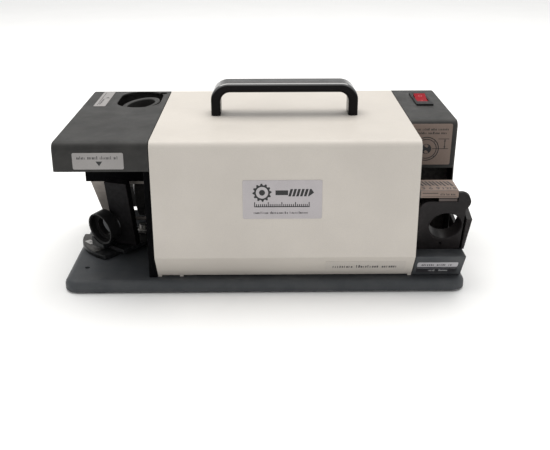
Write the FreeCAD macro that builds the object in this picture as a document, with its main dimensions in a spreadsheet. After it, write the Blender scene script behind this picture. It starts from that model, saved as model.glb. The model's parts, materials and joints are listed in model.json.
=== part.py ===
import FreeCAD, Part
import math
import os
import re
import Sketcher

# Bench drill bit sharpener.
# Frame: millimetres, +Z up, -Y towards the operator, +X to the operator's right.
# The origin is the centre of the footprint, on the table under the rubber feet.
# Three stations share one grinding wheel: thinning (top left), point angle (lower left)
# and chuck setting (lower right). The motor lies along X under the centre cover.

V = FreeCAD.Vector
X_AXIS = V(1, 0, 0)
Y_AXIS = V(0, 1, 0)
Z_AXIS = V(0, 0, 1)

SIZES = [
    # Base pan
    ("base_half_x", 213.0), ("base_half_y", 111.75), ("base_low_z", 2.0), ("base_top_z", 14.0),
    ("base_wall", 3.0), ("base_corner_r", 16.0), ("base_lip_r", 6.8), ("foot_x", 178.0),
    ("foot_y", 86.0), ("foot_r", 12.0), ("foot_high", 5.0), ("foot_boss_r", 14.0),
    ("foot_recess_r", 5.2), ("foot_web", 1.0), ("screw_r", 2.4), ("screw_head_r", 4.2),
    ("screw_head_high", 2.6), ("bolt_hole_x", 193.5), ("bolt_hole_y", 74.0), ("bolt_hole_r", 2.75),
    # Sheet metal
    ("sheet", 1.5), ("body_half_y", 118.65), ("top_z", 167.4), ("bend_r", 8.0),
    ("inner_bend_r", 6.5), ("side_bend_r", 3.0), ("seam", 0.8),
    # Centre cover
    ("cover_x0", -113.6), ("cover_x1", 156.1), ("cover_low_z", 15.6), ("crease_z", 43.7),
    ("cover_foot_y", 98.65), ("cover_foot_front_y", -98.65), ("slant_run", 1.2276),
    ("slant_half_tan", 0.319), ("flange_wide", 12.0), ("tab_wide", 4.0), ("cover_screw_z", 150.0),
    # Handle
    ("handle_x", 22.4), ("handle_y", 0.0), ("handle_pitch", 150.0), ("handle_deep", 29.0),
    ("handle_leg", 10.4), ("handle_top_z", 203.2), ("handle_bar", 10.3), ("handle_corner_r", 19.0),
    ("handle_inner_r", 10.5), ("handle_edge_r", 3.4), ("handle_screw_r", 2.9),
    ("handle_screw_long", 14.0), ("handle_head_r", 5.2), ("handle_head_high", 3.4),
    # Left hood
    ("hood_x0", -209.4), ("hood_skirt_z", 137.6), ("port_x", -143.9), ("port_y", 53.6),
    ("port_z", 165.8), ("port_cut_x", -146.0), ("port_cut_r", 25.0), ("port_cut_y0", 53.0),
    ("port_cut_y1", 85.0), ("port_notch_x", -122.5), ("port_notch_y", 100.0), ("port_notch_r", 4.5),
    ("bulkhead_y0", -101.0), ("bulkhead_y1", 110.0), ("bulkhead_flange", 8.2),
    ("shaft_hole_r", 14.0),
    # Right housing
    ("right_x1", 208.6), ("right_front_top_y", -38.0), ("right_front_low_y", -33.0),
    ("right_open_z", 113.0), ("right_back_panel_y", -5.0), ("right_bulkhead_y0", -61.5),
    # Sockets that take the chuck
    ("chuck_r", 16.5), ("socket_chamfer", 1.0), ("port_r", 22.3), ("port_long", 24.0),
    ("port_bracket_z0", 143.0), ("port_bracket_z1", 147.0),
    # Wheel, shaft and motor
    ("axis_y", 50.0), ("axis_z", 75.0), ("shaft_r", 6.0), ("shaft_fit", 0.05), ("shaft_x0", -168.0),
    ("shaft_x1", 66.0), ("wheel_r", 44.0), ("wheel_x0", -150.0), ("wheel_x1", -136.0),
    ("flange_r", 22.0), ("flange_thick", 5.0), ("nut_corner_r", 10.4), ("nut_thick", 9.0),
    ("stator_r", 47.0), ("stator_x0", -78.0), ("stator_x1", 30.0), ("stator_bore_r", 27.0),
    ("core_r", 26.4), ("core_x0", -66.0), ("core_x1", 18.0), ("bell_thick", 14.0), ("bell_r", 47.0),
    ("bearing_r", 14.0), ("bearing_wide", 9.0), ("fan_x0", 47.0), ("fan_x1", 59.0), ("fan_r", 40.0),
    ("fan_hub_r", 14.0), ("fan_disc", 2.0), ("fan_blade", 2.4), ("cradle_half_y", 38.0),
    ("cradle_x0", -58.0), ("cradle_x1", 10.0), ("cradle_top_z", 46.0), ("tie_ring_r", 41.0),
    ("tie_r", 2.5), ("cap_x0", -60.0), ("cap_y", -50.0), ("cap_z", 34.0), ("cap_r", 18.0),
    ("cap_long", 70.0), ("clip_x0", -40.0), ("clip_wide", 14.0), ("clip_wall", 1.6),
    # Wheel guard and its face sheet
    ("guard_x0", -204.0), ("guard_x1", -115.9), ("guard_y0", 0.5), ("guard_y1", 98.0),
    ("guard_low_z", 88.0), ("guard_top_z", 136.0), ("guard_wall", 2.0), ("guard_hole_r", 20.0),
    ("face_low_z", 40.0), ("face_lap", 8.0), ("face_top_x0", -201.5), ("face_low_x0", -184.0),
    ("face_sheet", 1.5), ("window_x0", -166.0), ("window_x1", -128.0), ("window_z0", 44.0),
    ("window_z1", 84.0),
    # Point-angle station
    ("pivot_x", -142.0), ("pivot_y", 6.0), ("sector_r", 71.0), ("sector_thick", 5.3),
    ("sector_front_deg", 30.0), ("sector_back_deg", 95.0),
    ("mark_deg", 68.0), ("pivot_r", 5.0), ("pivot_fit", 0.06),
    ("slide_gap", 0.4), ("holder_deg", 40.0), ("holder_tilt", 8.0), ("holder_half", 17.0),
    ("holder_right", 24.0), ("holder_nose", 52.0), ("holder_low_z", 24.0), ("saddle_right", 2.5),
    ("saddle_in", 45.0), ("saddle_top_z", 34.0), ("socket_r", 18.5), ("socket_out", 64.4),
    ("socket_z", 46.8), ("socket_long", 14.0), ("socket_deep", 9.0), ("drill_r", 10.5),
    ("liner_thick", 1.5), ("liner_r", 14.5), ("relief_wide", 0.5), ("relief_deep", 0.5),
    ("column_x", -0.1), ("column_out", 43.6), ("column_turn", 19.5),
    ("column_lean", 11.0), ("column_wide", 27.0),
    ("column_thick", 9.0), ("column_long", 79.0), ("scoop_clear", 0.8),
    ("knob_r", 9.0), ("knob_high", 5.0),
    # Setting station
    ("block_x0", 156.9), ("block_x1", 208.4), ("block_top_z", 44.0), ("block_low_z", 14.6),
    ("block_back_y", -80.0), ("bore_x", 186.5), ("bore_y", -108.2), ("bore_z", 73.4),
    ("casting_lean", 18.0), ("casting_x0", 157.5), ("casting_x1", 205.0), ("casting_thick", 16.0),
    ("casting_corner_r", 10.0), ("casting_top_z", 104.2), ("ear_x0", 195.9), ("ear_x", 198.3),
    ("ear_r", 10.7), ("ear_thick", 6.0), ("cheek_x0", 207.0), ("cheek_foot_x", 210.0), ("cheek_gap", 2.0), ("spacer_r", 3.2),
    ("cheek_y0", -99.0), ("cheek_top_z", 89.5), ("notch_y", -57.8), ("notch_z", 57.0),
    ("set_hole_r", 1.8), ("set_hole_x", -2.4),
    ("set_hole_z", -22.5), ("plate_x1", 195.5), ("plate_back_y", -85.1), ("plate_low_z", 108.4),
    ("plate_top_z", 116.2), ("slider_x0", 176.0), ("slider_x1", 194.6), ("slider_z0", 104.6),
    ("slider_z1", 107.8), ("slider_back_y", -76.5), ("arm_x0", 183.0), ("arm_x1", 190.0),
    ("arm_y0", -82.0), ("arm_z0", 82.0), ("stop_r", 2.5), ("stop_long", 7.0), ("bracket_thick", 3.0),
    ("bracket_front_y", -81.3), ("bracket_back_y", -63.0),
    # Switch
    ("switch_x", 184.4), ("switch_y", 60.4), ("bezel_x", 19.6), ("bezel_y", 60.0),
    ("bezel_high", 2.0), ("rocker_x", 13.2), ("pocket_half_y", 15.9), ("switch_deep", 24.0),
    ("rocker_pivot_z", 163.5), ("terminal_wide", 6.3),
    ("terminal_thick", 0.8), ("terminal_long", 9.0), ("rocker_pin_r", 1.25), ("rocker_clear", 0.4),
    ("rocker_deg", 8.0), ("rocker_half_y", 15.0), ("rocker_end_y", 14.4), ("rocker_end_z", 6.6),
    ("rocker_dip_z", 5.2), ("rocker_keel_y", 4.0), ("rocker_keel_z", 5.5),
    # Mains inlet
    ("inlet_x", 182.0), ("inlet_z", 62.0), ("inlet_wide", 27.0), ("inlet_high", 19.5),
    ("inlet_flange_x", 48.0), ("inlet_flange_z", 24.0), ("inlet_deep", 22.0), ("inlet_pitch", 40.0),
    ("inlet_screw_r", 1.9), ("inlet_lip", 2.0), ("contact_wide", 2.0), ("contact_high", 5.0),
    # Labels
    ("label_thick", 0.4), ("label_corner_r", 1.6),
]

doc = FreeCAD.newDocument("drill_bit_sharpener")
sheet = doc.addObject("Spreadsheet::Sheet", "Sizes")
for row, (alias, value) in enumerate(SIZES, 1):
    sheet.set(f"A{row}", alias)
    sheet.set(f"B{row}", str(value))
    sheet.setAlias(f"B{row}", alias)
doc.recompute()

NODES = []


def size(alias):
    """Value of one named size."""
    return float(sheet.get(alias))


def bound(text):
    """Expression text with each size name pointing at the sheet."""
    return re.sub(r"[a-z][a-z_0-9]*", lambda found: "Sizes." + found.group(0), str(text))


def bind(item, prop, text):
    item.setExpression(prop, bound(text))


def place(item, x, y, z):
    for axis, text in zip("xyz", (x, y, z)):
        bind(item, f"Placement.Base.{axis}", text)


def box(name, x0, x1, y0, y1, z0, z1):
    """Block between two corners, every side bound to the sheet."""
    item = doc.addObject("Part::Box", name)
    bind(item, "Length", f"({x1}) - ({x0})")
    bind(item, "Width", f"({y1}) - ({y0})")
    bind(item, "Height", f"({z1}) - ({z0})")
    place(item, x0, y0, z0)
    return item


TURNS = {
    "x": FreeCAD.Rotation(Y_AXIS, 90),
    "-x": FreeCAD.Rotation(Y_AXIS, -90),
    "y": FreeCAD.Rotation(X_AXIS, -90),
    "-y": FreeCAD.Rotation(X_AXIS, 90),
    "z": FreeCAD.Rotation(),
    "-z": FreeCAD.Rotation(X_AXIS, 180),
}


def rod(name, axis, x, y, z, radius, length):
    """Cylinder that starts at a point and runs along an axis."""
    item = doc.addObject("Part::Cylinder", name)
    item.Placement = FreeCAD.Placement(V(), TURNS[axis])
    bind(item, "Radius", radius)
    bind(item, "Height", length)
    place(item, x, y, z)
    return item


def taper(name, axis, x, y, z, radius, end_radius, length):
    """Cone frustum that starts at a point and runs along an axis."""
    item = doc.addObject("Part::Cone", name)
    item.Placement = FreeCAD.Placement(V(), TURNS[axis])
    bind(item, "Radius1", radius)
    bind(item, "Radius2", end_radius)
    bind(item, "Height", length)
    place(item, x, y, z)
    return item


def prism(name, role, outline, start, end):
    """Body padded from a closed outline on one of its origin planes, between two offsets.

    The outline's points are pairs of expressions along the plane's own two axes. XZ bodies
    count their offsets along +Y.
    """
    body = doc.addObject("PartDesign::Body", name)
    sketch = body.newObject("Sketcher::SketchObject", name + "_outline")
    plane = next(item for item in body.Origin.OriginFeatures if item.Role == role)
    sketch.AttachmentSupport = [(plane, "")]
    sketch.MapMode = "FlatFace"
    middle = f"(({start}) + ({end})) / 2"
    bind(sketch, "AttachmentOffset.Base.z", f"-{middle}" if role == "XZ_Plane" else middle)
    count = len(outline)
    corners = [V(10 * math.cos(2 * math.pi * i / count), 10 * math.sin(2 * math.pi * i / count), 0)
               for i in range(count)]
    for i in range(count):
        sketch.addGeometry(Part.LineSegment(corners[i], corners[(i + 1) % count]))
    for i in range(count):
        sketch.addConstraint(Sketcher.Constraint("Coincident", i, 2, (i + 1) % count, 1))
    for i, (across, along) in enumerate(outline):
        for kind, text in (("DistanceX", across), ("DistanceY", along)):
            index = sketch.addConstraint(Sketcher.Constraint(kind, -1, 1, i, 1, 1.0))
            sketch.setExpression(f"Constraints[{index}]", bound(text))
    doc.recompute()
    pad = body.newObject("PartDesign::Pad", name + "_pad")
    pad.Profile = sketch
    pad.Midplane = True
    bind(pad, "Length", f"({end}) - ({start})")
    doc.recompute()
    return body


def cut(name, base, *tools):
    item = doc.addObject("Part::Cut", name)
    item.Base = base
    item.Tool = tools[0] if len(tools) == 1 else fuse(name + "_tools", *tools)
    return item


def fuse(name, *items):
    item = doc.addObject("Part::MultiFuse", name)
    item.Shapes = list(items)
    return item


def common(name, *items):
    item = doc.addObject("Part::MultiCommon", name)
    item.Shapes = list(items)
    return item


def group(name, *items):
    """Separate solids that share one name."""
    item = doc.addObject("Part::Compound", name)
    item.Links = list(items)
    return item


def turned(name, item, placement):
    """Piece drawn in a frame of its own, then moved as a whole."""
    moved = group(name, item)
    moved.Placement = placement
    return moved


def runs_along(edge, direction):
    """Whether a straight edge lies along a direction."""
    if not isinstance(edge.Curve, Part.Line):
        return False
    return abs(edge.tangentAt(edge.FirstParameter).dot(direction)) > 0.999


def rounded(name, item, radius, chosen):
    """Fillet on the edges for which chosen(edge) holds."""
    doc.recompute()
    edges = [i for i, edge in enumerate(item.Shape.Edges, 1) if chosen(edge)]
    result = doc.addObject("Part::Fillet", name)
    result.Base = item
    result.Edges = [(i, size(radius), size(radius)) for i in edges]
    doc.recompute()
    return result


def node(label, item, placement=None):
    """Names one sub-part and adds it to the assembly."""
    item.Label = label
    if placement is not None:
        item.Placement = placement
    NODES.append(item)
    return item


def polar(centre_x, centre_y, radius, degrees):
    """Point on a circle about the pivot, counted from -Y towards -X."""
    turn = math.radians(degrees)
    return (centre_x - radius * math.sin(turn), centre_y - radius * math.cos(turn))


# Base pan: a shallow tray turned over, with four bosses for the feet.
corners = [(sx, sy) for sx in ("-", "") for sy in ("-", "")]
pan = box("pan_block", "-base_half_x", "base_half_x", "-base_half_y", "base_half_y",
          "base_low_z", "base_top_z")
pan = rounded("pan_corners", pan, "base_corner_r", lambda edge: runs_along(edge, Z_AXIS))
pan = rounded("pan_lip", pan, "base_lip_r",
              lambda edge: edge.BoundBox.ZMin > size("base_top_z") - 0.01)
hollow = box("pan_hollow", "-base_half_x + base_wall", "base_half_x - base_wall",
             "-base_half_y + base_wall", "base_half_y - base_wall",
             "base_low_z - 1", "base_top_z - base_wall")
hollow = rounded("pan_hollow_corners", hollow, "base_corner_r",
                 lambda edge: runs_along(edge, Z_AXIS))
bosses = [rod("foot_boss", "z", sx + "foot_x", sy + "foot_y", "foot_high", "foot_boss_r",
              "base_top_z - foot_high") for sx, sy in corners]
hollow = cut("pan_hollow_left", hollow, *bosses)
foot_holes = [rod("foot_hole", "z", sx + "foot_x", sy + "foot_y", "0", "screw_r",
                  "base_top_z - base_wall") for sx, sy in corners]
bolt_holes = [rod("bolt_hole", "z", sx + "bolt_hole_x", sy + "bolt_hole_y", "0", "bolt_hole_r",
                  "base_top_z + 1") for sx, sy in corners]
node("base_plate", cut("base_cut", pan, hollow, *foot_holes, *bolt_holes))

feet = []
foot_screws = []
for sx, sy in corners:
    foot_x, foot_y = sx + "foot_x", sy + "foot_y"
    pad = taper("foot_pad", "z", foot_x, foot_y, "0", "foot_r - 1", "foot_r", "foot_high")
    recess = rod("foot_recess", "z", foot_x, foot_y, "-foot_web", "foot_recess_r", "foot_high")
    hole = rod("foot_bore", "z", foot_x, foot_y, "-1", "screw_r", "foot_high + 2")
    feet.append(cut("foot", pad, recess, hole))
    head = rod("foot_screw_head", "z", foot_x, foot_y, "foot_high - foot_web - screw_head_high",
               "screw_head_r", "screw_head_high")
    shank = rod("foot_screw_shank", "z", foot_x, foot_y, "foot_high - foot_web", "screw_r",
                "base_top_z - base_wall - foot_high + foot_web")
    foot_screws.append(fuse("foot_screw", head, shank))
node("rubber_feet", group("feet", *feet))
node("foot_screws", group("foot_screw_set", *foot_screws))


# Centre cover: front, top and rear in one sheet, with folded flanges along both side edges.
def cover_outline(inset):
    """Points from the front lower edge over the top to the rear lower edge, inset by a distance."""
    foot = f"cover_foot_y - ({inset}) * slant_run"
    face = f"body_half_y - ({inset})"
    crease = f"crease_z + ({inset}) * slant_half_tan"
    top = f"top_z - ({inset})"
    front = [(f"-({foot})", "cover_low_z"), (f"-({face})", crease), (f"-({face})", top)]
    rear = [(face, top), (face, crease), (foot, "cover_low_z")]
    return front + rear


def at_top_bend(edge):
    """Edges along X where the top meets the front or the rear."""
    box_z = edge.BoundBox.ZMin
    return runs_along(edge, X_AXIS) and box_z > size("top_z") - 2 * size("flange_wide")


def bent_cover(name, inset, x0, x1, bend):
    body = prism(name, "YZ_Plane", cover_outline(inset), x0, x1)
    return rounded(name + "_bend", body, bend, at_top_bend)


skin = cut("cover_skin", bent_cover("cover_outer", "0", "cover_x0", "cover_x1", "bend_r"),
           bent_cover("cover_inner", "sheet", "cover_x0 - 1", "cover_x1 + 1", "inner_bend_r"))
left_ring = bent_cover("cover_left_ring", "sheet / 2", "cover_x0", "cover_x0 + sheet", "inner_bend_r")
right_ring = bent_cover("cover_right_ring", "sheet / 2", "cover_x1 - sheet", "cover_x1", "inner_bend_r")
flanges = cut("cover_flanges", fuse("cover_rings", left_ring, right_ring),
              prism("cover_ring_hole", "YZ_Plane", cover_outline("flange_wide"),
                    "cover_x0 - 1", "cover_x1 + 1"))
tabs = []
for side in ("-", ""):
    for x0 in ("cover_x0", "cover_x0 + 23", "cover_x1 - tab_wide"):
        near, far = f"{side}cover_foot_y", f"{side}(cover_foot_y - sheet * slant_run)"
        low, high = (near, far) if side else (far, near)
        tabs.append(box("cover_tab", x0, f"{x0} + tab_wide", low, high, "base_top_z", "cover_low_z + 0.5"))
rear_holes = [rod("cover_screw_hole", "y", x, "body_half_y - 5", "cover_screw_z", "screw_head_r - 1.2", "10")
              for x in ("cover_x0 + 12", "cover_x1 - 12")]
leg_holes = [rod("handle_hole", "z", f"handle_x {sign} handle_pitch / 2", "handle_y", "top_z - 5",
                 "handle_screw_r", "10") for sign in ("-", "+")]
node("centre_cover", cut("cover_cut", fuse("cover_all", skin, flanges, *tabs), *rear_holes, *leg_holes))

cover_screws = []
for x in ("cover_x0 + 12", "cover_x1 - 12"):
    head = rod("cover_screw_head", "-y", x, "body_half_y", "cover_screw_z", "screw_head_r - 1.2", "2 * sheet")
    shank = rod("cover_screw_shank", "-y", x, "body_half_y - 0.5", "cover_screw_z", "screw_r", "9")
    cover_screws.append(fuse("cover_screw", head, shank))
node("cover_screws", group("cover_screw_set", *cover_screws))

# Carrying handle: a flat bridge with rounded shoulders on two legs.
outer = box("handle_outer", "handle_x - handle_pitch / 2 - handle_leg / 2",
            "handle_x + handle_pitch / 2 + handle_leg / 2",
            "handle_y - handle_deep / 2", "handle_y + handle_deep / 2", "top_z", "handle_top_z")
outer = rounded("handle_shoulders", outer, "handle_corner_r",
                lambda edge: runs_along(edge, Y_AXIS) and edge.BoundBox.ZMin > size("top_z") + 1)
inner = box("handle_inner", "handle_x - handle_pitch / 2 + handle_leg / 2",
            "handle_x + handle_pitch / 2 - handle_leg / 2",
            "handle_y - handle_deep", "handle_y + handle_deep",
            "top_z - 10", "handle_top_z - handle_bar")
inner = rounded("handle_inner_round", inner, "handle_inner_r",
                lambda edge: runs_along(edge, Y_AXIS) and edge.BoundBox.ZMin > size("top_z") + 1)
handle = cut("handle_bow", outer, inner)


def on_handle_side(edge):
    """Edges of the bow's front and back faces, clear of the seat on the cover."""
    bounds = edge.BoundBox
    return bounds.YLength < 0.01 and bounds.ZMax > size("top_z") + 0.1


handle = rounded("handle_edges", handle, "handle_edge_r", on_handle_side)
threads = [rod("handle_thread", "z", f"handle_x {sign} handle_pitch / 2", "handle_y", "top_z - 1",
               "handle_screw_r", "handle_screw_long + 1") for sign in ("-", "+")]
node("handle", cut("handle_cut", handle, *threads))
handle_screws = []
for sign in ("-", "+"):
    x = f"handle_x {sign} handle_pitch / 2"
    shank = rod("handle_screw_shank", "z", x, "handle_y", "top_z - sheet - 1", "handle_screw_r",
                "handle_screw_long")
    head = rod("handle_screw_head", "-z", x, "handle_y", "top_z - sheet", "handle_head_r",
               "handle_head_high")
    handle_screws.append(fuse("handle_screw", shank, head))
node("handle_screws", group("handle_screw_set", *handle_screws))


# Left hood: top, front and left skirts, and the rear wall down to the base.
def top_edge(edge):
    """Edges along X at the top of a hood."""
    return edge.BoundBox.ZMin > size("top_z") - 3 and runs_along(edge, X_AXIS)


def hood_block(name, inset, open_x1, low, bend):
    """Hood volume inset by the sheet, with its front and rear bends."""
    block = box(name, f"hood_x0 + {inset}", open_x1, f"-body_half_y + {inset}", f"body_half_y - {inset}",
                low, f"top_z - {inset}")
    return rounded(name + "_bend", block, bend, top_edge)


hood_outer = hood_block("hood_outer", "0", "cover_x0 - seam", "hood_skirt_z", "bend_r")
hood_outer = rounded("hood_left_bend", hood_outer, "side_bend_r",
                     lambda edge: edge.BoundBox.XMax < size("hood_x0") + 0.01
                     and edge.BoundBox.ZMin > size("hood_skirt_z") + 0.5)
hood_inner = hood_block("hood_inner", "sheet", "cover_x0 + 5", "hood_skirt_z - 1", "inner_bend_r")
rear_wall = box("hood_rear_wall", "hood_x0", "cover_x0 - seam", "body_half_y - sheet", "body_half_y",
                "block_low_z", "hood_skirt_z + 1")
slot_ends = [rod("port_slot_end", "z", "port_cut_x", y, "top_z - 5", "port_cut_r", "10")
             for y in ("port_cut_y0", "port_cut_y1")]
slot_middle = box("port_slot_middle", "port_cut_x - port_cut_r", "port_cut_x + port_cut_r",
                  "port_cut_y0", "port_cut_y1", "top_z - 5", "top_z + 5")
port_notch = rod("port_notch", "z", "port_notch_x", "port_notch_y", "top_z - 5", "port_notch_r", "10")
hood_shell = fuse("hood_shell", cut("hood_skin", hood_outer, hood_inner), rear_wall)
node("left_hood", cut("hood_cut", hood_shell, *slot_ends, slot_middle, port_notch))

# Left bulkhead beside the cover, with a flange that faces the operator.
wall = box("left_wall", "cover_x0 - seam - sheet", "cover_x0 - seam", "bulkhead_y0", "bulkhead_y1",
           "base_top_z", "top_z - sheet")
wall_flange = box("left_wall_flange", "cover_x0 - seam - bulkhead_flange", "cover_x0 - seam",
                  "bulkhead_y0", "bulkhead_y0 + sheet", "base_top_z", "hood_skirt_z - 0.4")
wall_top = box("left_wall_trim", "cover_x0 - 5", "cover_x0 + 5", "bulkhead_y0 - 5",
               "-body_half_y + 24", "hood_skirt_z + 16", "top_z + 5")
shaft_hole = rod("left_wall_hole", "x", "cover_x0 - 10", "axis_y", "axis_z", "shaft_hole_r", "20")
node("left_bulkhead", cut("left_bulkhead_cut", fuse("left_bulkhead_sheet", wall, wall_flange),
                          wall_top, shaft_hole))

# Right bulkhead behind the setting station.
right_wall = box("right_wall", "cover_x1 + seam", "cover_x1 + seam + sheet", "right_bulkhead_y0",
                 "bulkhead_y1", "base_top_z", "top_z - sheet")
right_trim = box("right_wall_trim", "cover_x1", "cover_x1 + 5", "right_bulkhead_y0 - 5",
                 "right_front_top_y + 9", "right_open_z - 0.3", "top_z + 5")
node("right_bulkhead", cut("right_bulkhead_cut", right_wall, right_trim))


# Right housing: top, leaning front, side wall and rear wall.
def right_outline(inset, low):
    return [(f"right_front_top_y + {inset}", f"top_z - {inset}"),
            (f"right_front_low_y + {inset}", "right_open_z"),
            (f"right_front_low_y + {inset}", low),
            (f"body_half_y - {inset}", low),
            (f"body_half_y - {inset}", f"top_z - {inset}")]


def right_block(name, inset, low, x0, x1, bend):
    body = prism(name, "YZ_Plane", right_outline(inset, low), x0, x1)
    return rounded(name + "_bend", body, bend, top_edge)


right_outer = right_block("right_outer", "0", "block_low_z", "cover_x1 + seam", "right_x1", "bend_r")
right_outer = rounded("right_side_bend", right_outer, "side_bend_r",
                      lambda edge: edge.BoundBox.XMin > size("right_x1") - 0.01
                      and edge.BoundBox.ZMin > size("right_open_z") + 0.5)
right_inner = right_block("right_inner", "sheet", "block_low_z - 5", "cover_x1 - 5", "right_x1 - sheet",
                          "inner_bend_r")
mouth = box("right_mouth", "cover_x1", "right_x1 - sheet", "right_front_low_y - 5",
            "right_front_low_y + 5", "block_low_z - 1", "right_open_z")
switch_hole = box("switch_hole", "switch_x - bezel_x / 2 + 1.5", "switch_x + bezel_x / 2 - 1.5",
                  "switch_y - bezel_y / 2 + 2", "switch_y + bezel_y / 2 - 2", "top_z - 5", "top_z + 5")
inlet_hole = box("inlet_hole", "inlet_x - inlet_wide / 2", "inlet_x + inlet_wide / 2",
                 "body_half_y - 5", "body_half_y + 5", "inlet_z - inlet_high / 2", "inlet_z + inlet_high / 2")
inlet_holes = [rod("inlet_screw_hole", "y", f"inlet_x {sign} inlet_pitch / 2", "body_half_y - 5",
                   "inlet_z", "screw_head_r - 1.2", "10") for sign in ("-", "+")]
node("right_housing", cut("right_cut", cut("right_shell", right_outer, right_inner), mouth,
                          switch_hole, inlet_hole, *inlet_holes))
node("station_back_panel", box("back_panel", "cover_x1 + seam + sheet", "right_x1 - sheet",
                               "right_back_panel_y", "right_back_panel_y + sheet",
                               "base_top_z", "right_open_z + 30"))

# Switch: long bezel with a body below the sheet, rocker on a cross pin, spade terminals.
bezel = box("bezel", "switch_x - bezel_x / 2", "switch_x + bezel_x / 2",
            "switch_y - bezel_y / 2", "switch_y + bezel_y / 2", "top_z", "top_z + bezel_high")
bezel = rounded("bezel_round", bezel, "label_corner_r", lambda edge: runs_along(edge, Z_AXIS))
switch_case = box("switch_case", "switch_x - bezel_x / 2 + 1.6", "switch_x + bezel_x / 2 - 1.6",
                  "switch_y - bezel_y / 2 + 2.1", "switch_y + bezel_y / 2 - 2.1",
                  "top_z - switch_deep", "top_z + 1")
pocket = box("switch_pocket", "switch_x - rocker_x / 2 - rocker_clear",
             "switch_x + rocker_x / 2 + rocker_clear",
             "switch_y - pocket_half_y", "switch_y + pocket_half_y",
             "rocker_pivot_z - 10", "top_z + 5")
pin_hole = rod("switch_pin_hole", "x", "switch_x - rocker_x / 2 - 1.5", "switch_y", "rocker_pivot_z",
               "rocker_pin_r + shaft_fit", "rocker_x + 3")
node("switch_bezel", cut("switch_body", fuse("switch_solid", bezel, switch_case), pocket, pin_hole))
rocker_outline = [("rocker_half_y", "0"), ("rocker_end_y", "rocker_end_z"), ("0", "rocker_dip_z"),
                  ("-rocker_end_y", "rocker_end_z"), ("-rocker_half_y", "0"),
                  ("-rocker_keel_y", "-rocker_keel_z"), ("rocker_keel_y", "-rocker_keel_z")]
rocker_body = prism("rocker_block", "YZ_Plane", rocker_outline, "-rocker_x / 2", "rocker_x / 2")
rocker_pin = rod("rocker_pin", "x", "-rocker_x / 2 - 1.2", "0", "0", "rocker_pin_r", "rocker_x + 2.4")
rocker_at = FreeCAD.Placement(V(size("switch_x"), size("switch_y"), size("rocker_pivot_z")),
                              FreeCAD.Rotation(X_AXIS, size("rocker_deg")))
node("switch_rocker", turned("rocker_turned", fuse("rocker_all", rocker_body, rocker_pin), rocker_at))
terminals = [box("terminal", "switch_x - terminal_wide / 2", "switch_x + terminal_wide / 2",
                 f"switch_y + ({offset}) - terminal_thick / 2", f"switch_y + ({offset}) + terminal_thick / 2",
                 "top_z - switch_deep - terminal_long", "top_z - switch_deep") for offset in (-8, 0, 8)]
node("switch_terminals", group("terminal_set", *terminals))

# Mains inlet in the rear wall: the flange sits behind the sheet and the shell fills the cut-out.
inlet_flange = box("inlet_flange", "inlet_x - inlet_flange_x / 2", "inlet_x + inlet_flange_x / 2",
                   "body_half_y - sheet - inlet_lip", "body_half_y - sheet",
                   "inlet_z - inlet_flange_z / 2", "inlet_z + inlet_flange_z / 2")
inlet_flange = rounded("inlet_flange_round", inlet_flange, "side_bend_r",
                       lambda edge: runs_along(edge, Y_AXIS))
inlet_shell = box("inlet_shell", "inlet_x - inlet_wide / 2 + 0.2", "inlet_x + inlet_wide / 2 - 0.2",
                  "body_half_y - inlet_deep", "body_half_y",
                  "inlet_z - inlet_high / 2 + 0.2", "inlet_z + inlet_high / 2 - 0.2")
inlet_mouth = box("inlet_mouth", "inlet_x - inlet_wide / 2 + 2", "inlet_x + inlet_wide / 2 - 2",
                  "body_half_y - inlet_deep + 4", "body_half_y + 5",
                  "inlet_z - inlet_high / 2 + 2", "inlet_z + inlet_high / 2 - 2")
flange_holes = [rod("inlet_flange_hole", "y", f"inlet_x {sign} inlet_pitch / 2", "body_half_y - 9",
                    "inlet_z", "inlet_screw_r", "10") for sign in ("-", "+")]


def contact_row(name, start, end):
    """Three flat blades side by side, from one depth to another."""
    return [box(name, f"inlet_x + ({across}) - contact_wide / 2", f"inlet_x + ({across}) + contact_wide / 2",
                f"body_half_y - {start}", f"body_half_y - {end}",
                f"inlet_z + ({high}) - contact_high / 2", f"inlet_z + ({high}) + contact_high / 2")
            for across, high in ((-6, -1.5), (0, 2), (6, -1.5))]


node("power_inlet", cut("inlet_body", fuse("inlet_solid", inlet_flange, inlet_shell), inlet_mouth,
                        *flange_holes, *contact_row("contact_slot", "(inlet_deep + 1)", "(inlet_deep - 5)")))
node("inlet_contacts", group("contact_set", *contact_row("contact", "(inlet_deep + 6)", "4")))
inlet_screws = []
for sign in ("-", "+"):
    x = f"inlet_x {sign} inlet_pitch / 2"
    head = rod("inlet_screw_head", "-y", x, "body_half_y", "inlet_z", "screw_head_r - 1.2", "sheet")
    shank = rod("inlet_screw_shank", "-y", x, "body_half_y - 0.5", "inlet_z", "inlet_screw_r", "9")
    inlet_screws.append(fuse("inlet_screw", head, shank))
node("inlet_screws", group("inlet_screw_set", *inlet_screws))

# Motor: stator, two end bells with bearings, tie screws, cradle and running capacitor.
ties = [(math.cos(math.radians(turn)), math.sin(math.radians(turn))) for turn in (45, 135, 225, 315)]


def motor_rod(name, x, radius, length):
    return rod(name, "x", x, "axis_y", "axis_z", radius, length)


def tie_rods(name, radius):
    return [rod(name, "x", "stator_x0 - bell_thick", f"axis_y + tie_ring_r * {across:.4f}",
                f"axis_z + tie_ring_r * {up:.4f}", radius, "stator_x1 - stator_x0 + 2 * bell_thick")
            for across, up in ties]


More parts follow.
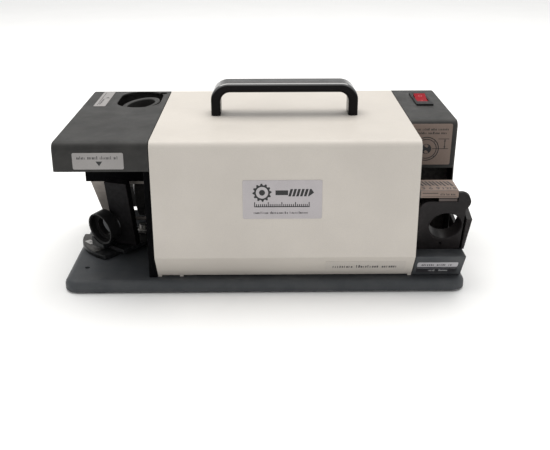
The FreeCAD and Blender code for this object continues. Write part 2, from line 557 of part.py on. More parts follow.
stator = motor_rod("stator_block", "stator_x0", "stator_r", "stator_x1 - stator_x0")
stator_bore = motor_rod("stator_bore", "stator_x0 - 1", "stator_bore_r", "stator_x1 - stator_x0 + 2")
node("motor_stator", cut("stator_cut", stator, stator_bore, *tie_rods("stator_tie_hole", "tie_r")))
bells = []
for side, start, inside in (("left", "stator_x0 - bell_thick", "stator_x0 - bearing_wide"),
                            ("right", "stator_x1", "stator_x1 - 1")):
    bell = motor_rod(side + "_bell", start, "bell_r", "bell_thick")
    seat = motor_rod(side + "_bell_seat", inside, "bearing_r", "bearing_wide + 1")
    bore = motor_rod(side + "_bell_bore", f"{start} - 1", "shaft_r + 1", "bell_thick + 2")
    bells.append(cut(side + "_bell_cut", bell, seat, bore, *tie_rods(side + "_bell_tie_hole", "tie_r")))
node("motor_bells", group("bell_set", *bells))
bearings = []
for start in ("stator_x0 - bearing_wide", "stator_x1"):
    race = motor_rod("race", start, "bearing_r", "bearing_wide")
    race_bore = motor_rod("race_bore", f"{start} - 1", "shaft_r", "bearing_wide + 2")
    bearings.append(cut("bearing", race, race_bore))
node("bearings", group("bearing_set", *bearings))
node("tie_screws", group("tie_screw_set", *tie_rods("tie_screw", "tie_r")))
node("motor_cradle", cut("cradle_cut", box("cradle_block", "cradle_x0", "cradle_x1", "axis_y - cradle_half_y",
                                           "axis_y + cradle_half_y", "base_top_z", "cradle_top_z"),
                         motor_rod("cradle_bed", "cradle_x0 - 1", "stator_r", "cradle_x1 - cradle_x0 + 2")))
can = rod("capacitor_can", "x", "cap_x0", "cap_y", "cap_z", "cap_r", "cap_long")
node("capacitor", can)
clip_ring = rod("clip_ring", "x", "clip_x0", "cap_y", "cap_z", "cap_r + clip_wall", "clip_wide")
clip_foot = box("clip_foot", "clip_x0", "clip_x0 + clip_wide", "cap_y - cap_r - 8",
                "cap_y + cap_r + 8", "base_top_z", "base_top_z + 3")
clip_hole = rod("clip_hole", "x", "clip_x0 - 1", "cap_y", "cap_z", "cap_r", "clip_wide + 2")
node("capacitor_clip", cut("clip_cut", fuse("clip_all", clip_ring, clip_foot), clip_hole))

# Rotor, shaft, fan and grinding wheel turn together.
node("rotor_shaft", motor_rod("shaft_bar", "shaft_x0", "shaft_r - shaft_fit", "shaft_x1 - shaft_x0"))


def on_shaft(label, start, end, radius):
    """Round piece bored to sit on the shaft."""
    name = label + "_disc"
    bore = motor_rod(name + "_bore", f"{start} - 1", "shaft_r - shaft_fit", f"({end}) - ({start}) + 2")
    return cut(name + "_cut", motor_rod(name, start, radius, f"({end}) - ({start})"), bore)


node("rotor_core", on_shaft("core", "core_x0", "core_x1", "core_r"))
FAN_BLADES = 7
blades = []
for index in range(FAN_BLADES):
    blade = box("fan_blade", "fan_x0", "fan_x1", "fan_hub_r - 2", "fan_r - 1", "-fan_blade / 2",
                "fan_blade / 2")
    spoke = FreeCAD.Placement(V(0, size("axis_y"), size("axis_z")),
                              FreeCAD.Rotation(X_AXIS, 360 / FAN_BLADES * index))
    blades.append(turned("fan_spoke", blade, spoke))
fan_disc = motor_rod("fan_disc", "fan_x0", "fan_r", "fan_disc")
fan_hub = motor_rod("fan_hub", "fan_x0", "fan_hub_r", "fan_x1 - fan_x0")
fan_bore = motor_rod("fan_bore", "fan_x0 - 1", "shaft_r - shaft_fit", "fan_x1 - fan_x0 + 2")
node("cooling_fan", cut("fan_cut", fuse("fan_all", fan_disc, fan_hub, *blades), fan_bore))
node("grinding_wheel", on_shaft("wheel", "wheel_x0", "wheel_x1", "wheel_r"))
inner_flange = on_shaft("inner_flange", "wheel_x1", "wheel_x1 + flange_thick", "flange_r")
outer_flange = on_shaft("outer_flange", "wheel_x0 - flange_thick", "wheel_x0", "flange_r")
node("wheel_flanges", group("flange_set", inner_flange, outer_flange))
hexagon = [(f"axis_y + nut_corner_r * {math.cos(math.radians(60 * i)):.4f}",
            f"axis_z + nut_corner_r * {math.sin(math.radians(60 * i)):.4f}") for i in range(6)]
nut_x1 = "wheel_x0 - flange_thick"
nut = prism("nut_block", "YZ_Plane", hexagon, f"{nut_x1} - nut_thick", nut_x1)
nut_bore = motor_rod("nut_bore", f"{nut_x1} - nut_thick - 1", "shaft_r - shaft_fit", "nut_thick + 2")
node("wheel_nut", cut("nut_cut", nut, nut_bore))

# Wheel guard: a shroud over the wheel, open below and towards the bulkhead, and a face sheet.
shroud = cut("shroud_shell", box("shroud_outer", "guard_x0", "guard_x1", "guard_y0", "guard_y1",
                                 "guard_low_z", "guard_top_z"),
             box("shroud_inner", "guard_x0 + guard_wall", "guard_x1 + 5", "guard_y0 + guard_wall",
                 "guard_y1 - guard_wall", "guard_low_z - 5", "guard_top_z - guard_wall"),
             rod("shroud_hole", "z", "port_x", "port_y", "guard_top_z - 5", "guard_hole_r", "10"))
node("wheel_guard", shroud)
face_back = "guard_y0 + guard_wall + face_sheet"
face_outline = [("face_top_x0", "guard_low_z + face_lap"), ("face_low_x0", "face_low_z"),
                ("guard_x1", "face_low_z"), ("guard_x1", "guard_low_z + face_lap")]
face = prism("face_block", "XZ_Plane", face_outline, "guard_y0 + guard_wall", face_back)
window = box("face_window", "window_x0", "window_x1", "guard_y0", f"{face_back} + 1",
             "window_z0", "window_z1")
node("guard_face", cut("face_cut", face, window))

# Thinning station: tilted socket ring under the hood's opening, on a bracket.
port_turn = FreeCAD.Rotation(V(0, 0, 1), V(-0.156, -0.070, 0.985))
port_at = FreeCAD.Placement(V(size("port_x"), size("port_y"), size("port_z")), port_turn)


def port_tool(name, radius, length):
    """Cylinder under the port's face, along its tilted axis."""
    return turned(name + "_turned", rod(name, "-z", "0", "0", "1", radius, length), port_at)


ring = rod("port_ring", "-z", "0", "0", "0", "port_r", "port_long")
ring_bore = rod("port_bore", "-z", "0", "0", "1", "chuck_r", "port_long + 2")
ring_lead = taper("port_lead", "-z", "0", "0", "0.001", "chuck_r + socket_chamfer", "chuck_r",
                  "socket_chamfer")
node("thinning_socket", cut("port_cut_all", ring, ring_bore, ring_lead), port_at)
bracket = box("port_bracket", "port_x - 34", "guard_x1", "port_y - 28", "port_y + 28",
              "port_bracket_z0", "port_bracket_z1")
node("thinning_bracket", cut("bracket_cut", bracket, port_tool("bracket_hole", "port_r", "port_long + 20")))

# Point-angle station: fixed sector plate with its angle scale, pivot pin and clamp nut.
pie = rod("sector_pie", "z", "pivot_x", "pivot_y", "base_top_z", "sector_r", "sector_thick")
pie.Placement.Rotation = FreeCAD.Rotation(Z_AXIS, -90 - size("sector_back_deg"))
bind(pie, "Angle", "sector_back_deg - sector_front_deg")
edge_outline = [("pivot_x - sector_r * 0.5", "pivot_y - sector_r * 0.866"), ("pivot_x", "pivot_y - 22.3"),
                ("pivot_x + 12", "pivot_y - 10"), ("pivot_x + 12", "pivot_y + 12"),
                ("pivot_x - 30", "pivot_y + 5.5"), ("pivot_x - 30", "pivot_y - 30")]
edge_plate = prism("sector_edge", "XY_Plane", edge_outline, "base_top_z", "base_top_z + sector_thick")
node("angle_plate", fuse("sector_all", pie, edge_plate))


def arc_strip(name, inner, outer, first, last, low, high):
    """Part of a flat ring about the pivot, between two angles counted from -Y towards -X."""
    strip = rod(name, "z", "pivot_x", "pivot_y", low, outer, f"({high}) - ({low})")
    strip.Placement.Rotation = FreeCAD.Rotation(Z_AXIS, -90 - last)
    strip.Angle = last - first
    hole = rod(name + "_hole", "z", "pivot_x", "pivot_y", f"{low} - 1", inner, f"({high}) - ({low}) + 2")
    return cut(name + "_cut", strip, hole)


plate_top = "base_top_z + sector_thick"
node("angle_scale", arc_strip("scale_arc", "sector_r - 16", "sector_r - 0.8", 44, 93, plate_top,
                              f"{plate_top} + label_thick"))
mark = box("mark_square", "-3.6", "3.6", "-3.6", "3.6", "0", "label_thick")
mark_x, mark_y = polar(size("pivot_x"), size("pivot_y"), size("sector_r") - 9, size("mark_deg"))
mark_z = size("base_top_z") + size("sector_thick") + size("label_thick")
mark_at = FreeCAD.Placement(V(mark_x, mark_y, mark_z), FreeCAD.Rotation(Z_AXIS, -size("mark_deg") + 18))
node("scale_mark", turned("mark_turned", mark, mark_at))
pivot = rod("pivot_bar", "z", "pivot_x", "pivot_y", plate_top, "pivot_r", "14.5")
node("pivot_pin", pivot)

# Swivelling holder. Its own frame stands on the pivot, with -Y out along the chuck's axis.
swivel_turn = FreeCAD.Rotation(Z_AXIS, -size("holder_deg"))
swivel_at = FreeCAD.Placement(V(size("pivot_x"), size("pivot_y"), 0), swivel_turn)
chuck_at = swivel_at.multiply(FreeCAD.Placement(V(0, -size("socket_out"), size("socket_z")),
                                                FreeCAD.Rotation(X_AXIS, size("holder_tilt"))))
column_at = swivel_at.multiply(FreeCAD.Placement(
    V(size("column_x"), -size("column_out"), size("holder_low_z")),
    FreeCAD.Rotation(Z_AXIS, size("column_turn")).multiply(FreeCAD.Rotation(X_AXIS, size("column_lean")))))


def chuck_tool(name, start, radius, length):
    """Cylinder along the chuck's axis, from a depth behind the mouth."""
    return turned(name + "_turned", rod(name, "y", "0", start, "0", radius, length), chuck_at)


slide_z = "base_top_z + sector_thick + slide_gap"
low_plate = box("swivel_plate", "-holder_half", "holder_right", "-holder_nose", "0", slide_z, "holder_low_z")
low_round = rod("swivel_round", "z", "0", "0", slide_z, "holder_half", f"holder_low_z - ({slide_z})")
saddle = box("swivel_saddle", "-holder_half", "saddle_right", "-socket_out + 1", "-saddle_in",
             "holder_low_z - 1", "saddle_top_z")
pivot_hole = rod("swivel_hole", "z", "0", "0", "0", "pivot_r + pivot_fit", "60")
swivel = cut("swivel_drilled", fuse("swivel_solid", low_plate, low_round, saddle), pivot_hole)
swivel.Placement = swivel_at
swivel_bed = chuck_tool("swivel_bed", "-5", "socket_r", "socket_long + 20")
node("swivel_block", cut("swivel_bedded", swivel, swivel_bed))
socket = rod("socket_block", "y", "0", "0", "0", "socket_r", "socket_long")
recess = rod("socket_recess", "y", "0", "-1", "0", "chuck_r", "socket_deep - liner_thick + 1")
relief = rod("socket_relief", "y", "0", "socket_deep - liner_thick - relief_wide", "0",
             "chuck_r + relief_deep", "relief_wide")
liner_seat = rod("liner_seat", "y", "0", "socket_deep - liner_thick - 0.1", "0", "liner_r",
                 "liner_thick + 0.1")
passage = rod("socket_passage", "y", "0", "-1", "0", "drill_r", "socket_long + 2")
lead = taper("socket_lead", "y", "0", "-0.001", "0", "chuck_r + socket_chamfer", "chuck_r",
             "socket_chamfer")
node("chuck_socket", cut("socket_cut", socket, recess, relief, liner_seat, passage, lead), chuck_at)
liner_disc = rod("liner_disc", "y", "0", "socket_deep - liner_thick", "0", "liner_r", "liner_thick")
liner_hole = rod("liner_hole", "y", "0", "-1", "0", "drill_r", "socket_long + 2")
node("socket_liner", cut("liner_ring", liner_disc, liner_hole), chuck_at)
post = turned("column_turned", box("column_post", "0", "column_wide", "0", "column_thick", "-3",
                                   "column_long"), column_at)
floor_cut = box("column_floor", "hood_x0 - 50", "cover_x0", "-body_half_y", "body_half_y", "0",
                "holder_low_z")
scoop = chuck_tool("column_scoop", "socket_long - 5", "drill_r + scoop_clear", "60")
node("holder_column", cut("column_cut", post, floor_cut, scoop))
clamp_disc = rod("clamp_disc", "z", "pivot_x", "pivot_y", "holder_low_z + slide_gap", "knob_r",
                 "knob_high")
clamp_bore = rod("clamp_bore", "z", "pivot_x", "pivot_y", "holder_low_z", "pivot_r + pivot_fit",
                 "knob_high + 5")
node("clamp_nut", cut("clamp_ring", clamp_disc, clamp_bore))

# Setting station: block with a sloping front, leaning casting with the chuck bore, cheek, scale.
block_outline = [("-cover_foot_y", "block_low_z"), ("-body_half_y", "crease_z - 0.7"),
                 ("-body_half_y", "block_top_z"), ("block_back_y", "block_top_z"),
                 ("block_back_y", "block_low_z")]
block = prism("block_body", "YZ_Plane", block_outline, "block_x0", "block_x1")
node("station_block", block)
casting_at = FreeCAD.Placement(V(size("bore_x"), size("bore_y"), size("bore_z")),
                               FreeCAD.Rotation(X_AXIS, size("casting_lean")))


def casting_tool(name, item):
    """Piece drawn about the bore's mouth, with +Y into the bore, turned to the casting's lean."""
    return turned(name + "_turned", item, casting_at)


slab = casting_tool("slab", box("slab_box", "casting_x0 - bore_x", "casting_x1 - bore_x", "0",
                                "casting_thick", "-50", "50"))
slab = common("slab_trimmed", slab, box("slab_limits", "casting_x0 - 5", "casting_x1 + 5", "-150", "0",
                                        "block_top_z", "casting_top_z"))
slab = rounded("slab_corner", slab, "casting_corner_r",
               lambda edge: edge.BoundBox.XMax < size("casting_x0") + 0.01
               and edge.BoundBox.ZMin > size("casting_top_z") - 0.01)
ear = casting_tool("ear", rod("ear_disc", "y", "ear_x - bore_x", "0", "casting_top_z - bore_z",
                              "ear_r", "ear_thick"))
ear = common("ear_half", ear, box("ear_limits", "ear_x0", "ear_x0 + 30", "-body_half_y", "0",
                                  "casting_top_z - 15", "casting_top_z + 15"))
bore = casting_tool("bore", rod("bore_cut", "y", "0", "-5", "0", "chuck_r", "casting_thick + 10"))
bore_lead = casting_tool("bore_lead", taper("bore_taper", "y", "0", "-0.001", "0", "chuck_r + socket_chamfer",
                                            "chuck_r", "socket_chamfer"))
set_hole = casting_tool("set_hole", rod("set_hole_cut", "y", "set_hole_x", "-1", "set_hole_z",
                                        "set_hole_r", "8"))
node("setting_casting", cut("casting_cut", fuse("casting_solid", slab, ear), bore, bore_lead, set_hole))
cheek_back = "right_front_low_y - 0.6"
cheek_outline = [("cheek_y0", "block_top_z"), (cheek_back, "block_top_z"), (cheek_back, "notch_z + 3"),
                 ("notch_y", "notch_z"), ("cheek_y0 + 12", "cheek_top_z"), ("cheek_y0 - 14", "cheek_top_z - 7")]
cheek = prism("cheek_body", "YZ_Plane", cheek_outline, "cheek_x0", "base_half_x")
cheek_taper = [("cheek_x0", "block_top_z - 1"), ("cheek_foot_x", "block_top_z - 1"),
               ("base_half_x", "cheek_top_z - 7"), ("base_half_x", "cheek_top_z + 1"),
               ("cheek_x0", "cheek_top_z + 1")]
cheek = common("cheek_tapered", cheek, prism("cheek_wedge", "XZ_Plane", cheek_taper, "-150", "0"))
spacers = [casting_tool("cheek_spacer", rod("cheek_spacer_rod", "x", "casting_x1 - bore_x",
                                            "casting_thick / 2", along, "spacer_r", "cheek_gap"))
           for along in ("-24", "11")]
node("side_cheek", fuse("cheek_all", cheek, *spacers))
bracket_sides = ("cover_x1 + seam", "cover_x1 + seam + bracket_thick")
bracket = box("bracket_block", *bracket_sides, "bracket_front_y", "bracket_back_y", "block_top_z",
              "plate_top_z")
node("plate_bracket", bracket)
plate = box("plate_block", "cover_x1 + seam", "plate_x1", "-body_half_y", "plate_back_y",
            "plate_low_z", "plate_top_z")
tail = box("plate_tail", *bracket_sides, "plate_back_y - 0.5", "bracket_front_y", "plate_low_z",
           "plate_top_z")
node("scale_plate", fuse("plate_all", plate, tail))
slider = box("slider_strip", "slider_x0", "slider_x1", "-body_half_y + 0.3", "slider_back_y",
             "slider_z0", "slider_z1")
arm = box("slider_arm", "arm_x0", "arm_x1", "arm_y0", "slider_back_y", "arm_z0", "slider_z0 + 1")
node("setting_slider", fuse("slider_all", slider, arm))
stop = rod("stop_rod", "-y", "(arm_x0 + arm_x1) / 2", "arm_y0", "arm_z0 + 3.5", "stop_r", "stop_long")
node("stop_pin", stop)
node("set_screw", casting_tool("set_screw_bar", rod("set_screw_rod", "y", "set_hole_x", "1.2", "set_hole_z",
                                                    "set_hole_r", "5.5")))


# Labels: thin plates with rounded corners on the sheet metal and on the scale.
def label_plate(name, x0, x1, y0, y1, z0, z1, normal):
    plate = box(name + "_plate", x0, x1, y0, y1, z0, z1)
    return rounded(name + "_round", plate, "label_corner_r", lambda edge: runs_along(edge, normal))


def sloped_plate(name, x0, x1, low, high, origin_y, origin_z, degrees):
    """Label drawn upright, turned about X and set on a sloping face."""
    plate = label_plate(name, x0, x1, "-label_thick", "0", low, high, Y_AXIS)
    sloping = FreeCAD.Placement(V(0, size(origin_y), size(origin_z)), FreeCAD.Rotation(X_AXIS, degrees))
    return turned(name + "_turned", plate, sloping)


def lean_of(run, low_z, high_z):
    return math.degrees(math.atan2(run, high_z - low_z))


front = ("-body_half_y - label_thick", "-body_half_y")
scale_sides = ("cover_x1 + seam + 0.5", "plate_x1 - 0.3")
node("point_angle_label", label_plate("angle", "-188.9", "-138.5", *front, "140.2", "157.2", Y_AXIS))
node("name_plate", label_plate("badge", "-21.7", "58.2", *front, "87", "128.1", Y_AXIS))
node("thinning_label", label_plate("thinning", "-195.6", "-181.9", "33", "108", "top_z",
                                   "top_z + label_thick", Z_AXIS))
scale_top = label_plate("scale_top", *scale_sides, "-body_half_y + 0.4", "plate_back_y - 0.6",
                        "plate_top_z", "plate_top_z + label_thick", Z_AXIS)
scale_front = label_plate("scale_front", *scale_sides, *front, "plate_low_z + 0.3",
                          "plate_top_z - 0.3", Y_AXIS)
node("scale_labels", group("scale_label_set", scale_top, scale_front))
housing_lean = lean_of(size("right_front_low_y") - size("right_front_top_y"), size("right_open_z"),
                       size("top_z"))
node("diagram_label", sloped_plate("diagram", "cover_x1 + 2.6", "right_x1 - 6", "4", "51",
                                   "right_front_low_y", "right_open_z", housing_lean))
cover_slant = lean_of(size("body_half_y") - size("cover_foot_y"), size("cover_low_z"), size("crease_z"))
node("strip_label", sloped_plate("strip", "63.8", "147.7", "8", "27", "cover_foot_front_y", "cover_low_z",
                                 cover_slant))
block_slant = lean_of(size("body_half_y") - size("cover_foot_y"), size("block_low_z"), size("crease_z") - 0.7)
block_sides = ("block_x0 + 3", "block_x1 - 6")
block_plates = [sloped_plate(name, *block_sides, low, high, "cover_foot_front_y", "block_low_z", block_slant)
                for name, low, high in (("block_upper", "16.5", "25"), ("block_lower", "6", "13.5"))]
node("block_labels", group("block_label_set", *block_plates))

doc.recompute()
for item in doc.Objects:
    for state in item.State:
        if state in ("Invalid", "Error"):
            raise RuntimeError(f"{item.Name} is {state}")
for item in NODES:
    if item.Shape.isNull() or not item.Shape.isValid():
        raise RuntimeError(f"{item.Label} has no valid shape")

os.makedirs("parts", exist_ok=True)
for item in NODES:
    item.Shape.exportStep(os.path.join("parts", item.Label + ".step"))
    bounds = item.Shape.BoundBox
    print(f"{item.Label:20s} solids {len(item.Shape.Solids)} volume {item.Shape.Volume:10.0f} "
          f"x {bounds.XMin:7.1f} {bounds.XMax:7.1f} y {bounds.YMin:7.1f} {bounds.YMax:7.1f} "
          f"z {bounds.ZMin:6.1f} {bounds.ZMax:6.1f}")
print(len(NODES), "nodes")
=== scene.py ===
import json
import math
import random

import bmesh
import bpy
from mathutils import Matrix, Vector


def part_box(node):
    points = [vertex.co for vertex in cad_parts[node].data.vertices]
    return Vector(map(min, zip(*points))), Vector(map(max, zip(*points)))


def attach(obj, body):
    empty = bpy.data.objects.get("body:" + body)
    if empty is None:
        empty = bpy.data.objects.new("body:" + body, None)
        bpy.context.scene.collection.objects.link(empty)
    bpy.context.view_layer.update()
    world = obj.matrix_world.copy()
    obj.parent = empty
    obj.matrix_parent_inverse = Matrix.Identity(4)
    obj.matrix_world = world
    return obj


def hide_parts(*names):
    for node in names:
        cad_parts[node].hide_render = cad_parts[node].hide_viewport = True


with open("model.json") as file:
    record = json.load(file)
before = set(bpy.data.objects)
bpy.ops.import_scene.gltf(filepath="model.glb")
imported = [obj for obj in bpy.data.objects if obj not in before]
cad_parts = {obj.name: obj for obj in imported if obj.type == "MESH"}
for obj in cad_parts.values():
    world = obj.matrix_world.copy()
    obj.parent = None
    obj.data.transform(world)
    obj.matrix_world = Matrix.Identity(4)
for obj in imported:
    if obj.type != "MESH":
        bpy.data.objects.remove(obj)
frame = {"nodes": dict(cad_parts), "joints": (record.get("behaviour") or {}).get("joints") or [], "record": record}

# Bench drill bit sharpener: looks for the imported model. Metres, +Z up, -Y towards the operator.

random.seed(20)
MM = 0.001
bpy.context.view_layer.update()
NODES = frame["nodes"]
BODY_OF = {node: body for body, nodes in frame["record"]["behaviour"]["bodies"].items() for node in nodes}
SLOT_OF = {row["node"]: row["material_slot"] for row in frame["record"]["subparts"]}


# ---------------------------------------------------------------- shading nodes

class Shade:
    """One Principled material, with short calls for the texture nodes behind it."""

    def __init__(self, name, **uniform):
        self.material = bpy.data.materials.new(name)
        self.material.use_nodes = True
        self.tree = self.material.node_tree
        self.shader = self.tree.nodes["Principled BSDF"]
        for socket, value in uniform.items():
            self.shader.inputs[socket.replace("_", " ")].default_value = value
        self.place = self.node("ShaderNodeTexCoord").outputs["Object"]

    def node(self, kind, **settings):
        made = self.tree.nodes.new(kind)
        for key, value in settings.items():
            setattr(made, key, value)
        return made

    def feed(self, socket, value):
        """Links an output to an input, or sets the input to a plain value."""
        if isinstance(value, bpy.types.NodeSocket):
            self.tree.links.new(value, socket)
        else:
            socket.default_value = value

    def stretched(self, factors):
        """Object coordinates scaled unevenly, for brushed and drawn surfaces."""
        mapping = self.node("ShaderNodeMapping")
        self.feed(mapping.inputs["Vector"], self.place)
        mapping.inputs["Scale"].default_value = factors
        return mapping.outputs["Vector"]

    def noise(self, scale, detail=3.0, rough=0.55, place=None, distortion=0.0):
        made = self.node("ShaderNodeTexNoise")
        self.feed(made.inputs["Vector"], place or self.place)
        made.inputs["Scale"].default_value = scale
        made.inputs["Detail"].default_value = detail
        made.inputs["Roughness"].default_value = rough
        made.inputs["Distortion"].default_value = distortion
        return made.outputs["Fac"]

    def cells(self, scale):
        made = self.node("ShaderNodeTexVoronoi")
        self.feed(made.inputs["Vector"], self.place)
        made.inputs["Scale"].default_value = scale
        return made.outputs["Distance"]

    def span(self, value, low, high, to_low=0.0, to_high=1.0):
        """Linear map of a value between two limits, clamped."""
        made = self.node("ShaderNodeMapRange")
        for index, number in enumerate((value, low, high, to_low, to_high)):
            self.feed(made.inputs[index], number)
        return made.outputs["Result"]

    def maths(self, operation, first, second=0.0):
        made = self.node("ShaderNodeMath", operation=operation)
        self.feed(made.inputs[0], first)
        self.feed(made.inputs[1], second)
        return made.outputs["Value"]

    def mix(self, factor, first, second):
        """Colour between two colours."""
        made = self.node("ShaderNodeMix", data_type="RGBA")
        self.feed(made.inputs["Factor"], factor)
        colours = [socket for socket in made.inputs if socket.type == "RGBA"]
        self.feed(colours[0], first)
        self.feed(colours[1], second)
        return next(socket for socket in made.outputs if socket.type == "RGBA")

    def edges(self, low=0.54, high=0.62):
        """Share of an outer edge, from the curvature of the bevelled mesh."""
        point = self.node("ShaderNodeNewGeometry").outputs["Pointiness"]
        return self.span(point, low, high)

    def bump(self, height, distance, strength=1.0, under=None):
        made = self.node("ShaderNodeBump")
        self.feed(made.inputs["Height"], height)
        made.inputs["Distance"].default_value = distance
        made.inputs["Strength"].default_value = strength
        if under is not None:
            self.feed(made.inputs["Normal"], under)
        return made.outputs["Normal"]

    def colour(self, value):
        self.feed(self.shader.inputs["Base Color"], value)

    def roughness(self, value):
        self.feed(self.shader.inputs["Roughness"], value)

    def normal(self, value):
        self.feed(self.shader.inputs["Normal"], value)


def tone(colour, factor):
    """A colour made lighter or darker."""
    return tuple(min(1.0, channel * factor) for channel in colour[:3]) + (1.0,)


def powder_coat(name, colour, rough=0.5, grain=0.10, worn=(0.5, 0.5, 0.5), wear=0.25, dust=0.06, gloss=0.5):
    """Sprayed and baked paint: orange peel, fine pepper, faint dust, and rubbed edges."""
    shade = Shade(name, Specular_IOR_Level=gloss)
    cloud = shade.noise(9.0, 4.0)
    patch = shade.noise(55.0, 3.0)
    pepper = shade.noise(2600.0, 1.0)
    base = shade.mix(shade.span(cloud, 0.35, 0.65), tone(colour, 0.95), tone(colour, 1.05))
    base = shade.mix(shade.span(patch, 0.4, 0.7, 0.0, dust), base, (0.42, 0.40, 0.37, 1.0))
    base = shade.mix(shade.span(pepper, 0.35, 0.7, 0.0, 0.35), base, tone(colour, 0.80))
    rims = shade.edges()
    scratches = shade.span(shade.noise(140.0, 4.0), 0.45, 0.62, 0.0, wear)
    shade.colour(shade.mix(shade.maths("MULTIPLY", rims, scratches), base, worn + (1.0,)))
    smear = shade.noise(24.0, 5.0, 0.6, distortion=0.6)
    shade.roughness(shade.span(smear, 0.3, 0.72, rough - 0.06, rough + 0.09))
    peel = shade.bump(shade.noise(420.0, 2.0), grain * MM, 0.55)
    shade.normal(shade.bump(pepper, 0.35 * grain * MM, 0.6, peel))
    return shade.material


def cast_black(name, colour, rough=0.42, pits=0.16, gloss=0.2, edge_wear_and_highlight=5.0):
    """Blackened casting: slightly lumpy skin, small pits, and brighter edges: rubbed wear, raised on the angle
    plate into a painted edge highlight.
    """
    shade = Shade(name, Specular_IOR_Level=gloss)
    cloud = shade.noise(30.0, 4.0)
    base = shade.mix(shade.span(cloud, 0.35, 0.68), tone(colour, 0.82), tone(colour, 1.22))
    rims = shade.edges(0.53, 0.6)
    patches = shade.span(shade.noise(220.0, 3.0), 0.4, 0.6, 0.05, 0.4)
    # Lighter edges: rubbed wear; with a large factor they become a painted edge highlight.
    shade.colour(shade.mix(shade.maths("MULTIPLY", rims, patches), base, tone(colour, edge_wear_and_highlight)))
    shade.roughness(shade.span(shade.noise(70.0, 4.0), 0.3, 0.7, rough - 0.07, rough + 0.12))
    skin = shade.bump(shade.noise(260.0, 4.0, 0.62), pits * MM, 0.6)
    shade.normal(shade.bump(shade.cells(900.0), 0.3 * pits * MM, 0.4, skin))
    return shade.material


def brushed(name, colour, along=(1.0, 40.0, 40.0), rough=0.3, stain=0.25):
    """Ground metal: fine parallel lines, soft stains and uneven polish."""
    shade = Shade(name, Metallic=1.0)
    lines = shade.noise(60.0, 6.0, 0.7, shade.stretched(along))
    stains = shade.noise(38.0, 4.0, 0.6)
    base = shade.mix(shade.span(lines, 0.3, 0.7), tone(colour, 0.86), tone(colour, 1.1))
    shade.colour(shade.mix(shade.span(stains, 0.45, 0.75, 0.0, stain), base, tone(colour, 0.45)))
    shade.roughness(shade.span(stains, 0.3, 0.7, rough - 0.07, rough + 0.16))
    shade.normal(shade.bump(lines, 0.03 * MM, 0.5))
    return shade.material


def moulded(name, colour, rough=0.4, grain=0.05, gloss=0.3):
    """Moulded plastic: faint flow marks, a fine spark-eroded grain, and handling gloss."""
    shade = Shade(name, Specular_IOR_Level=gloss)
    flow = shade.noise(26.0, 3.0, 0.5, distortion=1.2)
    shade.colour(shade.mix(shade.span(flow, 0.3, 0.7), tone(colour, 0.88), tone(colour, 1.14)))
    shade.roughness(shade.span(shade.noise(60.0, 4.0), 0.3, 0.7, rough - 0.08, rough + 0.08))
    shade.normal(shade.bump(shade.noise(1400.0, 2.0), grain * MM, 0.5))
    return shade.material


def polished_grip(name, colour):
    """Black moulding, dull below and rubbed to a shine where the hand closes over its upper edges."""
    shade = Shade(name, Specular_IOR_Level=0.1, Coat_IOR=2.4, Coat_Roughness=0.08)
    flow = shade.noise(26.0, 3.0, 0.5, distortion=1.2)
    shade.colour(shade.mix(shade.span(flow, 0.3, 0.7), tone(colour, 0.85), tone(colour, 1.2)))
    parts = shade.node("ShaderNodeSeparateXYZ")
    shade.feed(parts.inputs[0], shade.node("ShaderNodeNewGeometry").outputs["Normal"])
    upward = parts.outputs["Z"]
    above_side = shade.span(upward, 0.2, 0.5)
    below_top = shade.span(upward, 0.86, 0.985, 1.0, 0.23)
    shine = shade.maths("MULTIPLY", above_side, below_top)
    handled = shade.noise(34.0, 4.0, 0.6)
    shade.feed(shade.shader.inputs["Coat Weight"], shine)
    shade.roughness(shade.span(handled, 0.3, 0.7, 0.16, 0.3))
    shade.normal(shade.bump(shade.noise(1400.0, 2.0), 0.012 * MM, 0.5))
    return shade.material


def grit(name, colour):
    """Bonded abrasive: packed grains of two tones with open pores."""
    shade = Shade(name, Roughness=0.92, Specular_IOR_Level=0.35)
    grains = shade.cells(1100.0)
    tint = shade.noise(1700.0, 2.0)
    base = shade.mix(shade.span(tint, 0.35, 0.65), tone(colour, 0.6), tone(colour, 1.45))
    glaze = shade.noise(45.0, 3.0)
    shade.colour(shade.mix(shade.span(glaze, 0.5, 0.75, 0.0, 0.35), base, tone(colour, 0.4)))
    rough = shade.bump(grains, 0.35 * MM, 0.8)
    shade.normal(shade.bump(shade.noise(650.0, 4.0), 0.25 * MM, 0.7, rough))
    return shade.material


def foil(name, colour, metal=0.35, rough=0.42):
    """Printed foil or film label: a faint weave of print dots, fingermarks and cockle."""
    shade = Shade(name, Metallic=metal)
    dots = shade.noise(1900.0, 1.0)
    marks = shade.noise(42.0, 4.0, 0.6, distortion=0.8)
    base = shade.mix(shade.span(dots, 0.35, 0.65), tone(colour, 0.95), tone(colour, 1.05))
    shade.colour(shade.mix(shade.span(marks, 0.45, 0.75, 0.0, 0.16), base, tone(colour, 0.7)))
    shade.roughness(shade.span(marks, 0.3, 0.7, rough - 0.08, rough + 0.12))
    shade.normal(shade.bump(marks, 0.05 * MM, 0.5))
    return shade.material


def ink(name, colour, rough=0.5):
    """Printed ink: nearly even, with slightly thin patches."""
    shade = Shade(name)
    thin = shade.noise(900.0, 2.0)
    shade.colour(shade.mix(shade.span(thin, 0.35, 0.75), tone(colour, 0.9), tone(colour, 1.25)))
    shade.roughness(shade.span(thin, 0.3, 0.7, rough - 0.05, rough + 0.1))
    return shade.material


def rubber(name, colour):
    shade = Shade(name, Specular_IOR_Level=0.3)
    bloom = shade.noise(80.0, 4.0)
    shade.colour(shade.mix(shade.span(bloom, 0.4, 0.75), tone(colour, 0.85), tone(colour, 2.0)))
    shade.roughness(shade.span(bloom, 0.3, 0.7, 0.7, 0.92))
    shade.normal(shade.bump(shade.noise(900.0, 3.0), 0.08 * MM, 0.6))
    return shade.material


